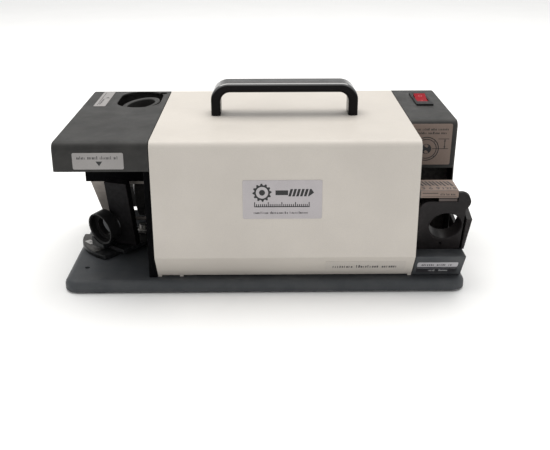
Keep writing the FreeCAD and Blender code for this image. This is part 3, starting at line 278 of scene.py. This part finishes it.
WHITE = (0.56, 0.521, 0.473)
HOOD_GREY = (0.024, 0.0235, 0.0225)
PAN_GREY = (0.052, 0.056, 0.061)
MATERIALS = {
    "white_paint": powder_coat("white_paint", WHITE, 0.5, 0.05, (0.50, 0.47, 0.43), 0.12, 0.03),
    "grey_paint": powder_coat("grey_paint", HOOD_GREY, 0.5, 0.10, (0.10, 0.10, 0.10), 0.3, 0.03, 0.22),
    "black_paint": cast_black("black_paint", (0.0085, 0.0082, 0.0085)),
    "black_handle": polished_grip("black_handle", (0.005, 0.0044, 0.005)),
    "black_plastic": moulded("black_plastic", (0.007, 0.007, 0.0075), 0.45, 0.06, 0.15),
    "red_plastic": moulded("red_plastic", (0.235, 0.0015, 0.008), 0.34, 0.02, 0.05),
    "rubber": rubber("rubber", (0.016, 0.016, 0.016)),
    "bright_steel": brushed("bright_steel", (0.50, 0.485, 0.46)),
    "dark_steel": brushed("dark_steel", (0.12, 0.12, 0.125), rough=0.42),
    "zinc_sheet": brushed("zinc_sheet", (0.40, 0.41, 0.43), (1.0, 3.0, 3.0), 0.38, 0.35),
    "machined_aluminium": brushed("machined_aluminium", (0.62, 0.62, 0.63), (1.0, 60.0, 60.0), 0.28, 0.12),
    "cast_motor": cast_black("cast_motor", (0.08, 0.084, 0.092), 0.55, 0.3),
    "brass": brushed("brass", (0.74, 0.55, 0.24), rough=0.26),
    "abrasive": grit("abrasive", (0.012, 0.011, 0.0105)),
    "silver_label": foil("silver_label", (0.285, 0.272, 0.265), 0.2, 0.45),
    "paper_label": foil("paper_label", (0.205, 0.150, 0.122), 0.0, 0.55),
    "scale_print": foil("scale_print", (0.23, 0.205, 0.19), 0.1, 0.5),
}
PAN_PAINT = powder_coat("pan_paint", PAN_GREY, 0.46, 0.10, (0.15, 0.15, 0.15), 0.3, 0.04, 0.2)
# Black of the wheel guard and bulkheads, darkened to nearly zero as painted shade of the wheel chamber.
BLACK_AND_PAINTED_SHADE = cast_black("black_and_painted_shade", (0.0016, 0.0016, 0.0019), 0.6, 0.12, 0.03)
CASTING_BLACK = cast_black("casting_black", (0.0125, 0.0108, 0.0112), 0.4, 0.22, 0.14)
# Black of the holder column; on the socket liner it is painted shade standing for the dark inside of the bore.
COLUMN_AND_BORE_SHADE_BLACK = cast_black("column_and_bore_shade_black", (0.0062, 0.0058, 0.0062), 0.45, 0.14, 0.08)
# The plate's edges are lightened fourteen times over: a painted edge highlight on top of rubbed wear.
PLATE_BLACK_EDGE_HIGHLIGHT = cast_black("plate_black_edge_highlight", (0.0062, 0.0064, 0.0068), 0.34, 0.12, 0.16, 14.0)
STRIP_FILM = foil("strip_film", (0.53, 0.495, 0.455), 0.0, 0.45)
NIGHT_FILM = foil("night_film", (0.018, 0.0175, 0.020), 0.0, 0.4)
PLATE_FILM = foil("plate_film", (0.43, 0.405, 0.415), 0.2, 0.42)
SCALE_FILM = foil("scale_film", (0.036, 0.033, 0.030), 0.1, 0.45)
MARK_WHITE = foil("mark_white", (0.46, 0.45, 0.44), 0.0, 0.5)
INK = ink("black_ink", (0.012, 0.012, 0.013))
SOFT_INK = ink("soft_ink", (0.055, 0.050, 0.050))
PALE_INK = ink("pale_ink", (0.42, 0.42, 0.44))
TICK_INK = ink("tick_ink", (0.15, 0.147, 0.145))
FACE_SHEET = brushed("face_sheet", (0.235, 0.215, 0.198), (1.0, 1.0, 30.0), 0.4, 0.3)
SCALE_METAL = foil("scale_metal", (0.20, 0.18, 0.168), 0.3, 0.5)
# A lighter copy of the silver label for the downward-slanting block plate: painted light making up for the light
# it misses.
BLOCK_SILVER_PAINTED_LIGHT = foil("block_silver_painted_light", (0.46, 0.45, 0.47), 0.1, 0.45)
ROCKER_MARK = ink("rocker_mark", (0.36, 0.045, 0.05))
RECESS_BLACK = cast_black("recess_black", (0.020, 0.0178, 0.0168), 0.55, 0.14, 0.1)
SCREW_BLACK = brushed("screw_black", (0.012, 0.012, 0.013), rough=0.5)
SLIDER_STEEL = brushed("slider_steel", (0.095, 0.08, 0.076), (1.0, 1.0, 30.0), 0.5, 0.3)
DULL_ZINC = brushed("dull_zinc", (0.06, 0.06, 0.062), (1.0, 3.0, 3.0), 0.55, 0.3)
SPECIAL = {
    "guard_face": FACE_SHEET, "setting_slider": SLIDER_STEEL,
    "scale_plate": SCALE_METAL, "plate_bracket": SCALE_METAL,
    "thinning_bracket": DULL_ZINC, "set_screw": SCREW_BLACK,
    "base_plate": PAN_PAINT, "station_block": PAN_PAINT, "thinning_socket": MATERIALS["grey_paint"],
    "wheel_guard": BLACK_AND_PAINTED_SHADE, "left_bulkhead": BLACK_AND_PAINTED_SHADE, "right_bulkhead": BLACK_AND_PAINTED_SHADE,
    "station_back_panel": RECESS_BLACK, "holder_column": COLUMN_AND_BORE_SHADE_BLACK, "socket_liner": COLUMN_AND_BORE_SHADE_BLACK,
    "setting_casting": CASTING_BLACK, "side_cheek": CASTING_BLACK,
    "angle_plate": PLATE_BLACK_EDGE_HIGHLIGHT, "swivel_block": PLATE_BLACK_EDGE_HIGHLIGHT,
    "strip_label": STRIP_FILM, "name_plate": PLATE_FILM, "block_labels": BLOCK_SILVER_PAINTED_LIGHT,
    "angle_scale": SCALE_FILM, "scale_mark": MARK_WHITE,
}


# ---------------------------------------------------------------- mesh helpers

# Edge radii by slot, in millimetres, and the angles in degrees that tell flats from edges.
BEVELS = {
    "white_paint": 0.35, "grey_paint": 0.35, "black_paint": 0.6, "black_plastic": 0.4, "red_plastic": 0.7,
    "black_handle": 0.3, "bright_steel": 0.25, "silver_label": 0.08, "paper_label": 0.08, "scale_print": 0.08,
}
DEFAULT_BEVEL = 0.3
WELD_WITHIN = 0.02
FLAT_WITHIN = 0.4
SHARP_ABOVE = 33.0


def soften(piece, width):
    """Rounds the sharp edges of a piece by a small radius, with flats that shade flat."""
    weld = piece.modifiers.new("weld", "WELD")
    weld.merge_threshold = WELD_WITHIN * MM
    flat = piece.modifiers.new("flat", "DECIMATE")
    flat.decimate_type = "DISSOLVE"
    flat.angle_limit = math.radians(FLAT_WITHIN)
    bevel = piece.modifiers.new("bevel", "BEVEL")
    bevel.width = width * MM
    bevel.segments = 2
    bevel.limit_method = "ANGLE"
    bevel.angle_limit = math.radians(SHARP_ABOVE)
    bevel.use_clamp_overlap = True
    weighted = piece.modifiers.new("weighted", "WEIGHTED_NORMAL")
    weighted.weight = 80
    for face in piece.data.polygons:
        face.use_smooth = True


def dress(node, material=None, width=None):
    """Gives a CAD node its material and its softened edges."""
    piece = NODES[node]
    slot_name = SLOT_OF[node]
    piece.data.materials.clear()
    piece.data.materials.append(material or MATERIALS[slot_name])
    soften(piece, width or BEVELS.get(slot_name, DEFAULT_BEVEL))


WIDE_EDGES = {"holder_column": 1.6, "swivel_block": 1.2, "angle_plate": 1.0, "setting_casting": 1.1}
for node_name in NODES:
    dress(node_name, SPECIAL.get(node_name), WIDE_EDGES.get(node_name))


# ---------------------------------------------------------------- prints on the labels

class Panel:
    """A flat label of a CAD node: millimetres across (u) and up (v) from its lower left corner."""

    ROUGHLY, EXACTLY = 0.9, 0.999   # cosines that pick its faces: near the asked direction, then its own
    DEPTH = 0.1

    def __init__(self, node, facing, keep=None):
        facing = Vector(facing).normalized()
        faces = [face for face in NODES[node].data.polygons
                 if face.normal.dot(facing) > self.ROUGHLY and (keep is None or keep(face.center))]
        facing = max(faces, key=lambda face: face.area).normal.copy()
        faces = [face for face in faces if face.normal.dot(facing) > self.EXACTLY]
        outermost = max(face.center.dot(facing) for face in faces)
        faces = [face for face in faces if face.center.dot(facing) > outermost - self.DEPTH * MM]
        self.node = node
        self.normal = facing
        self.across = Vector((1.0, 0.0, 0.0))
        self.up = self.normal.cross(self.across).normalized()
        verts = NODES[node].data.vertices
        points = [verts[index].co for face in faces for index in face.vertices]
        spans = [[point.dot(way) for point in points] for way in (self.across, self.up, self.normal)]
        self.wide, self.tall = ((max(span) - min(span)) / MM for span in spans[:2])
        self.corner = self.across * min(spans[0]) + self.up * min(spans[1]) + self.normal * max(spans[2])

    def frame(self, u=0.0, v=0.0):
        """Placement of a drawing made in metres about its own origin."""
        turn = Matrix((self.across, self.up, self.normal)).transposed().to_4x4()
        return Matrix.Translation(self.corner + self.across * u * MM + self.up * v * MM) @ turn


class Print:
    """Raised ink marks on one panel, gathered in one mesh."""

    THICK = 0.06
    STROKE_PITCH, GROUP_GAP = 0.46, 1.3   # of the line's height, and of the pitch

    def __init__(self, panel, lift=0.0):
        self.panel = panel
        self.lift = Matrix.Translation(panel.normal * lift * MM)
        self.build = bmesh.new()

    def slab(self, outline, holes=()):
        """A thin solid with this outline, and with holes, in millimetres on the panel."""
        curve = bpy.data.curves.new("outline", "CURVE")
        curve.dimensions = "2D"
        curve.fill_mode = "BOTH"
        curve.extrude = self.THICK * MM
        for loop in (outline, *holes):
            line = curve.splines.new("POLY")
            line.points.add(len(loop) - 1)
            for point, (u, v) in zip(line.points, loop):
                point.co = (u * MM, v * MM, 0.0, 1.0)
            line.use_cyclic_u = True
        self.take(curve, self.lift @ self.panel.frame())

    def take(self, curve, place):
        """Adds a curve or text, turned into a mesh."""
        holder = bpy.data.objects.new("drawing", curve)
        bpy.context.scene.collection.objects.link(holder)
        bpy.context.view_layer.update()
        mesh = bpy.data.meshes.new_from_object(holder.evaluated_get(bpy.context.evaluated_depsgraph_get()))
        mesh.transform(place)
        self.build.from_mesh(mesh)
        bpy.data.objects.remove(holder)
        bpy.data.meshes.remove(mesh)
        bpy.data.curves.remove(curve)

    def bar(self, u, v, wide, tall, lean=0.0):
        """A stroke with its lower left corner at u, v; lean shifts its top sideways."""
        self.slab([(u, v), (u + wide, v), (u + wide + lean, v + tall), (u + lean, v + tall)])

    def words(self, u, v, wide, tall, strokes=(4, 12), weight=0.34):
        """A line of plain upright strokes in groups, where the real label has small print."""
        pitch = tall * self.STROKE_PITCH
        end = u + wide
        while u + pitch < end:
            for _ in range(random.randint(*strokes)):
                if u + pitch > end:
                    return
                high = tall * random.choice((0.62, 0.68, 0.68, 0.74, 1.0))
                self.bar(u, v, pitch * (weight + random.choice((0.0, 0.2, 0.34))), high)
                u += pitch
            u += pitch * self.GROUP_GAP

    def ring(self, u, v, radius, wide, steps=64):
        """A ring line."""
        outer, inner = [], []
        for step in range(steps):
            angle = math.radians(360.0 * step / steps)
            outer.append((u + radius * math.cos(angle), v + radius * math.sin(angle)))
            inner.append((u + (radius - wide) * math.cos(angle), v + (radius - wide) * math.sin(angle)))
        self.slab(outer, (inner[::-1],))

    def plate(self, inset, corner):
        """Covers the panel up to a margin, with rounded corners."""
        outline = []
        for quarter, (u, v) in enumerate(((1, 1), (0, 1), (0, 0), (1, 0))):
            centre_u = inset + corner + u * (self.panel.wide - 2 * (inset + corner))
            centre_v = inset + corner + v * (self.panel.tall - 2 * (inset + corner))
            for step in range(7):
                angle = math.radians(90.0 * quarter + 15.0 * step)
                outline.append((centre_u + corner * math.cos(angle), centre_v + corner * math.sin(angle)))
        self.slab(outline)

    def disc(self, u, v, radius, steps=48):
        angles = [2.0 * math.pi * step / steps for step in range(steps)]
        self.slab([(u + radius * math.cos(a), v + radius * math.sin(a)) for a in angles])

    def number(self, text, u, v, tall):
        """A small centred number."""
        curve = bpy.data.curves.new("number", "FONT")
        curve.body = text
        curve.size = 1.35 * tall * MM
        curve.align_x = "CENTER"
        curve.align_y = "CENTER"
        curve.extrude = self.THICK * MM
        curve.offset = 0.018 * tall * MM
        self.take(curve, self.lift @ self.panel.frame(u, v))

    def done(self, name, material=INK):
        mesh = bpy.data.meshes.new(name)
        self.build.to_mesh(mesh)
        self.build.free()
        piece = bpy.data.objects.new(name, mesh)
        mesh.materials.append(material)
        bpy.context.scene.collection.objects.link(piece)
        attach(piece, BODY_OF[self.panel.node])


UP, FRONT, SLANT = (0.0, 0.0, 1.0), (0.0, -1.0, 0.0), (0.0, -0.82, -0.57)


def print_point_angle():
    panel = Panel("point_angle_label", FRONT)
    marks = Print(panel)
    marks.words(4.5, 10.4, panel.wide - 8.5, 3.2, (5, 9))
    middle = 0.52 * panel.wide
    marks.slab([(middle, 3.4), (middle + 3.3, 8.2), (middle - 3.3, 8.2)])
    marks.done("point_angle_print")


def print_thinning():
    panel = Panel("thinning_label", UP)
    marks = Print(panel)
    marks.slab([(9.6, 47.0), (7.2, 40.5), (12.0, 40.5)])
    marks.bar(3.2, 6.0, 0.8, panel.tall - 12.0)
    for row in range(9):
        marks.bar(5.0, 9.0 + 3.2 * row, random.choice((1.6, 2.2)), 2.2)
    marks.done("thinning_print", SOFT_INK)


def print_name_plate():
    """Generic front plate: a wheel-and-drill sign, a ruled line with ticks, and a line of strokes."""
    panel = Panel("name_plate", FRONT)
    marks = Print(panel)
    hub = (19.5, 28.0)
    teeth = []
    for step in range(48):
        angle = math.radians(7.5 * step)
        radius = 9.6 if step % 4 < 2 else 7.9
        teeth.append((hub[0] + radius * math.cos(angle), hub[1] + radius * math.sin(angle)))
    hole = [(hub[0] + 6.2 * math.cos(math.radians(10 * a)), hub[1] + 6.2 * math.sin(math.radians(10 * a)))
            for a in range(36, 0, -1)]
    marks.slab(teeth, (hole,))
    marks.disc(*hub, 3.0)
    base = 24.0
    marks.slab([(33.0, base + 1.4), (45.6, base + 1.4), (45.6, base + 6.4), (33.0, base + 6.4)])
    for flute in range(5):
        left = 45.8 + 3.9 * flute
        marks.slab([(left, base), (left + 2.6, base), (left + 4.8, base + 7.8), (left + 2.2, base + 7.8)])
    marks.slab([(66.6, base), (71.6, base + 3.9), (69.0, base + 7.8), (67.4, base + 7.8), (65.6, base)])
    rule_u, rule_v, rule_weight = 11.5, 12.6, 0.9
    marks.bar(rule_u, rule_v, 56.0, rule_weight)
    for tick in range(29):
        marks.bar(rule_u + 1.96 * tick, rule_v, rule_weight, 5.4 if tick % 7 == 0 else 3.2)
    marks.words(11.0, 5.4, 57.0, 2.5, (5, 16))
    marks.done("name_plate_print")


def print_strip():
    panel = Panel("strip_label", SLANT)
    marks = Print(panel)
    marks.words(7.5, 6.2, panel.wide - 14.0, 5.2, (5, 11))
    marks.done("strip_print", SOFT_INK)


def print_block():
    """Dark print on the silver plate, pale characters on the dark one below."""
    middle = (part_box("block_labels")[0].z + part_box("block_labels")[1].z) / 2
    top = Panel("block_labels", SLANT, lambda centre: centre.z > middle)
    marks = Print(top)
    marks.words(4.5, 2.4, top.wide - 9.0, 4.2, (4, 9))
    marks.done("block_print")
    low = Panel("block_labels", SLANT, lambda centre: centre.z < middle)
    night = Print(low)
    night.plate(0.0, 0.6)
    night.done("block_night_film", NIGHT_FILM)
    pale = Print(low, 0.07)
    pale.words(13.0, 2.2, 8.5, 3.0, (5, 6))
    pale.words(24.0, 2.2, 11.0, 3.0, (6, 8))
    pale.done("block_print_pale", PALE_INK)


def print_scale():
    """Slanted graduations with drill sizes under them, and a fine frame line in front."""
    top = Panel("scale_labels", UP)
    marks = Print(top)
    ticks = 9
    pitch = (top.wide - 4.0) / ticks
    for index in range(ticks):
        start = top.tall * (0.38 if index % 2 == 0 else 0.46)
        marks.bar(3.4 + pitch * index, start, 0.54 * pitch, top.tall * 0.84 - start, -3.2)
    for index, size_text in enumerate(("3", "6", "9", "12", "15")):
        marks.number(size_text, 3.4 + pitch * 1.95 * index, top.tall * 0.17, top.tall * 0.19)
    marks.done("scale_print_top")
    front = Panel("scale_labels", FRONT)
    lines = Print(front)
    lines.bar(1.5, front.tall * 0.62, front.wide * 0.42, 0.7)
    lines.words(front.wide * 0.52, front.tall * 0.35, front.wide * 0.42, 2.4, (3, 6))
    lines.bar(1.5, front.tall * 0.16, front.wide - 3.0, 0.35)
    lines.done("scale_print_front")


def print_diagram():
    """Setting drawing: the drill's end in the chuck's rings, with its lip height marked."""
    panel = Panel("diagram_label", (0.0, -1.0, 0.1))
    marks = Print(panel)
    marks.words(4.0, panel.tall - 7.4, panel.wide - 7.0, 2.7, (4, 13), 0.4)
    marks.words(4.0, panel.tall - 11.6, panel.wide - 9.5, 2.7, (4, 10), 0.4)
    u, v = 17.0, 18.5
    marks.ring(u, v, 13.8, 1.0)
    marks.ring(u, v, 11.4, 0.9)
    for corner in range(4):
        angle = math.radians(45.0 + 90.0 * corner)
        marks.disc(u + 12.5 * math.cos(angle), v + 12.5 * math.sin(angle), 0.6, 16)
    lobe = [(5.6 * math.cos(math.radians(a)), 5.6 * math.sin(math.radians(a))) for a in range(0, 360, 12)]
    flute = [(0.0, 5.4), (2.6, 3.4), (1.0, 1.2), (-1.6, 2.6), (-2.6, 4.4)]
    marks.slab([(u + x, v + y) for x, y in lobe],
               ([(u + x, v + y) for x, y in flute], [(u - x, v - y) for x, y in flute]))
    marks.bar(u - 16.0, v - 0.2, 7.0, 0.45)
    right = u + 12.5
    marks.bar(right, v + 11.0, panel.wide - right - 2.6, 0.7)
    marks.bar(right - 6.0, v - 0.2, panel.wide - right + 3.0, 0.7)
    marks.bar(panel.wide - 7.5, v + 0.3, 0.7, 10.7)
    for tip, way in ((v + 0.3, 1.0), (v + 11.0, -1.0)):
        barb = tip + 2.6 * way
        marks.slab([(panel.wide - 7.15, tip), (panel.wide - 8.2, barb), (panel.wide - 6.1, barb)])
    marks.done("diagram_print")


def print_angle_scale():
    """Point-angle graduations in an arc about the holder's pivot, and the white mark with its dot."""
    first, pitch, count = -136.0, 2.1, 22
    outer, long_tick, short_tick, half_wide = 68.5, 4.0, 2.4, 0.2
    under_mark = range(11, 16)
    pivot = next(joint for joint in frame["joints"] if joint["name"] == "holder_swivel")
    centre = Vector(pivot["pos_m"])
    panel = Panel("angle_scale", UP)
    local = panel.frame().inverted() @ Vector((centre.x, centre.y, panel.corner.z))
    u0, v0 = local.x / MM, local.y / MM
    marks = Print(panel)
    for index in range(count):
        if index in under_mark:
            continue
        angle = math.radians(first - pitch * index)
        start = outer - (long_tick if index % 5 == 0 else short_tick)
        side = Vector((-math.sin(angle), math.cos(angle))) * half_wide
        ray = Vector((math.cos(angle), math.sin(angle)))
        ends = [ray * start - side, ray * outer - side, ray * outer + side, ray * start + side]
        marks.slab([(u0 + end.x, v0 + end.y) for end in ends])
    marks.done("angle_scale_print", TICK_INK)

    # The mark's film runs on from the square, away from the holder.
    half_mark, film_end, dot_shift, dot_radius = 3.6, 9.6, 2.2, 1.3
    onward = Vector((-math.cos(math.radians(50.0)), math.sin(math.radians(50.0))))
    side = Vector((onward.y, -onward.x)) * half_mark
    near, far = onward * (half_mark - 0.1), onward * film_end
    low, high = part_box("scale_mark")
    middle = panel.frame().inverted() @ ((low + high) / 2)
    film = Print(panel)
    film.slab([(middle.x / MM + end.x, middle.y / MM + end.y)
               for end in (near - side, far - side, far + side, near + side)])
    film.done("scale_mark_film", MARK_WHITE)
    square = Panel("scale_mark", UP)
    dot = Print(square)
    dot.disc(square.wide / 2 + dot_shift * onward.x, square.tall / 2 + dot_shift * onward.y, dot_radius, 24)
    dot.done("scale_mark_dot")


def print_rocker():
    """Line and ring marks on the two ends of the rocker."""
    middle = (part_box("switch_rocker")[0].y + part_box("switch_rocker")[1].y) / 2
    near = Panel("switch_rocker", UP, lambda centre: centre.y < middle)
    line = Print(near)
    line.bar(near.wide / 2 - 0.4, near.tall * 0.3, 0.8, near.tall * 0.34)
    line.done("rocker_line_mark", ROCKER_MARK)
    far = Panel("switch_rocker", UP, lambda centre: centre.y > middle)
    circle = Print(far)
    circle.ring(far.wide / 2, far.tall / 2, 2.3, 0.6)
    circle.done("rocker_ring_mark", ROCKER_MARK)


print_point_angle()
print_thinning()
print_name_plate()
print_strip()
print_block()
print_scale()
print_diagram()
print_angle_scale()
print_rocker()


# ---------------------------------------------------------------- screws and nut

def lathe(build, profile, steps=40):
    """Turns a profile of (radius, height) points about Z."""
    rings = []
    for radius, height in profile:
        if radius == 0.0:
            rings.append([build.verts.new((0.0, 0.0, height))])
            continue
        angles = [2.0 * math.pi * step / steps for step in range(steps)]
        rings.append([build.verts.new((radius * math.cos(a), radius * math.sin(a), height)) for a in angles])
    for low, high in zip(rings, rings[1:]):
        for step in range(steps):
            after = (step + 1) % steps
            if len(low) == 1:
                build.faces.new((low[0], high[after], high[step]))
            elif len(high) == 1:
                build.faces.new((low[step], low[after], high[0]))
            else:
                build.faces.new((low[step], low[after], high[after], high[step]))


def mesh_object(name, build, material, smooth=True):
    mesh = bpy.data.meshes.new(name)
    bmesh.ops.recalc_face_normals(build, faces=build.faces)
    build.to_mesh(mesh)
    build.free()
    mesh.materials.append(material)
    for face in mesh.polygons:
        face.use_smooth = smooth
    piece = bpy.data.objects.new(name, mesh)
    bpy.context.scene.collection.objects.link(piece)
    return piece


def cross_head_screws(node, radius):
    """Pan-head screws with a cross recess, in place of the plain heads in the rear wall."""
    low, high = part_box(node)
    half = (high.z - low.z) / 2
    build = bmesh.new()
    head = [(0.0, -3.0), (half / MM - 0.1, -3.0), (half / MM - 0.1, 0.0), (radius, 0.0), (radius, 0.35)]
    head += [(radius * math.cos(math.radians(a)), 0.35 + 0.75 * math.sin(math.radians(a)))
             for a in range(18, 90, 18)] + [(0.0, 1.1)]
    lathe(build, head)
    blank = mesh_object(node + "_blank", build, MATERIALS["dark_steel"])
    cutter = bmesh.new()
    for turn in (0.0, 90.0):
        arm = bmesh.ops.create_cube(cutter, size=1.0)["verts"]
        for vert in arm:
            vert.co = Vector((vert.co.x * radius * 1.05, vert.co.y * radius * 0.26, vert.co.z * 1.6 + 1.0))
            if vert.co.z < 0.5:
                vert.co.x *= 0.45
        bmesh.ops.rotate(cutter, verts=arm, matrix=Matrix.Rotation(math.radians(turn + 17.0), 3, "Z"))
    tool = mesh_object(node + "_tool", cutter, MATERIALS["dark_steel"], False)
    carve = blank.modifiers.new("carve", "BOOLEAN")
    carve.object = tool
    carve.solver = "EXACT"
    carve.use_self = True
    bpy.context.view_layer.update()
    carved = bpy.data.meshes.new_from_object(blank.evaluated_get(bpy.context.evaluated_depsgraph_get()))
    both = bmesh.new()
    for index, x in enumerate((low.x + half, high.x - half)):
        copy = carved.copy()
        seat = Matrix.Translation((x, high.y, (low.z + high.z) / 2))
        place = seat @ Matrix.Rotation(math.radians(-90.0), 4, "X")
        copy.transform(place @ Matrix.Rotation(0.7 * index, 4, "Z") @ Matrix.Scale(MM, 4))
        both.from_mesh(copy)
        bpy.data.meshes.remove(copy)
    for spent in (blank, tool):
        bpy.data.objects.remove(spent)
    piece = mesh_object(node + "_heads", both, MATERIALS["dark_steel"], False)
    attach(piece, BODY_OF[node])
    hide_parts(node)


def knurled_nut():
    """Clamp nut with a knurled rim and a dished top, in place of the plain disc."""
    low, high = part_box("clamp_nut")
    radius, tall = (high.x - low.x) / 2 / MM, (high.z - low.z) / MM
    bore = min(radius - 3.0, 5.06)   # clear of the pivot pin
    steps = 144
    levels = [(0.0, -0.7), (0.6, 0.0), (tall - 0.9, 0.0), (tall - 0.3, -0.7), (tall, -1.3)]
    build = bmesh.new()
    rings = []
    for height, inset in levels:
        ring = []
        for step in range(steps):
            angle = 2.0 * math.pi * step / steps
            knurl = -0.35 if step % 4 < 2 and inset == 0.0 else 0.0
            reach = radius + inset + knurl
            ring.append(build.verts.new((reach * math.cos(angle), reach * math.sin(angle), height)))
        rings.append(ring)
    for reach, height in ((radius - 3.0, tall), (radius - 3.4, tall - 0.5), (bore, tall - 0.5), (bore, 0.0)):
        rings.append([build.verts.new((reach * math.cos(2.0 * math.pi * step / steps),
                                       reach * math.sin(2.0 * math.pi * step / steps), height))
                      for step in range(steps)])
    for lower, upper in zip(rings, rings[1:] + rings[:1]):
        for step in range(steps):
            after = (step + 1) % steps
            build.faces.new((lower[step], lower[after], upper[after], upper[step]))
    piece = mesh_object("clamp_nut_knurled", build, MATERIALS["bright_steel"], False)
    middle = (low + high) / 2
    piece.data.transform(Matrix.Translation((middle.x, middle.y, low.z)) @ Matrix.Scale(MM, 4))
    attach(piece, BODY_OF["clamp_nut"])
    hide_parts("clamp_nut")


cross_head_screws("cover_screws", 4.2)
cross_head_screws("inlet_screws", 3.9)
knurled_nut()


# ---------------------------------------------------------------- light, floor and camera

def area_light(name, place, target, size, power, colour):
    lamp = bpy.data.lights.new(name, "AREA")
    lamp.shape = "RECTANGLE"
    lamp.size, lamp.size_y = size
    lamp.energy = power
    lamp.color = colour
    holder = bpy.data.objects.new(name, lamp)
    holder.location = place
    holder.rotation_euler = (Vector(target) - Vector(place)).to_track_quat("-Z", "Y").to_euler()
    bpy.context.scene.collection.objects.link(holder)


def floor_sheet():
    """Pale sheet that curves up behind the object, out of reach of the camera's near field."""
    mesh = bpy.data.meshes.new("floor_sheet")
    build = bmesh.new()
    grid = bmesh.ops.create_grid(build, x_segments=24, y_segments=24, size=6.0)
    for vert in grid["verts"]:
        rise = max(0.0, vert.co.y - 2.5)
        vert.co.z = 0.35 * rise * rise
    build.to_mesh(mesh)
    build.free()
    floor = bpy.data.objects.new("floor_sheet", mesh)
    bpy.context.scene.collection.objects.link(floor)
    shade = Shade("floor_paper", Specular_IOR_Level=0.2)
    cloud = shade.span(shade.noise(7.0), 0.3, 0.7)
    shade.colour(shade.mix(cloud, (0.935, 0.935, 0.93, 1), (0.955, 0.955, 0.95, 1)))
    shade.roughness(shade.span(shade.noise(60.0), 0.3, 0.7, 0.8, 0.9))
    mesh.materials.append(shade.material)
    for face in mesh.polygons:
        face.use_smooth = True


OVERHEAD_WATTS = 40.0
SKY_STRENGTH = 0.75
WARM_WHITE = (1.0, 0.985, 0.955)
LENS = 55.48
LOOK_DOWN = 21.4

floor_sheet()
area_light("overhead", (-0.1, 0.5, 1.9), (0.0, 0.05, 0.1), (2.6, 1.8), OVERHEAD_WATTS, WARM_WHITE)

world = bpy.data.worlds.new("studio")
world.use_nodes = True
sky = world.node_tree.nodes["Background"]
sky.inputs["Color"].default_value = (1.0, 1.0, 1.0, 1.0)
sky.inputs["Strength"].default_value = SKY_STRENGTH
bpy.context.scene.world = world
bpy.context.scene.view_settings.view_transform = "Standard"

camera_data = bpy.data.cameras.new("camera")
camera_data.lens = LENS
camera_data.sensor_width = 36.0
camera = bpy.data.objects.new("camera", camera_data)
camera.location = (3.34 * MM, -920.8 * MM, 394.5 * MM)
camera.rotation_euler = (math.radians(90.0 - LOOK_DOWN), 0.002, -0.010)
bpy.context.scene.collection.objects.link(camera)
bpy.context.scene.camera = camera
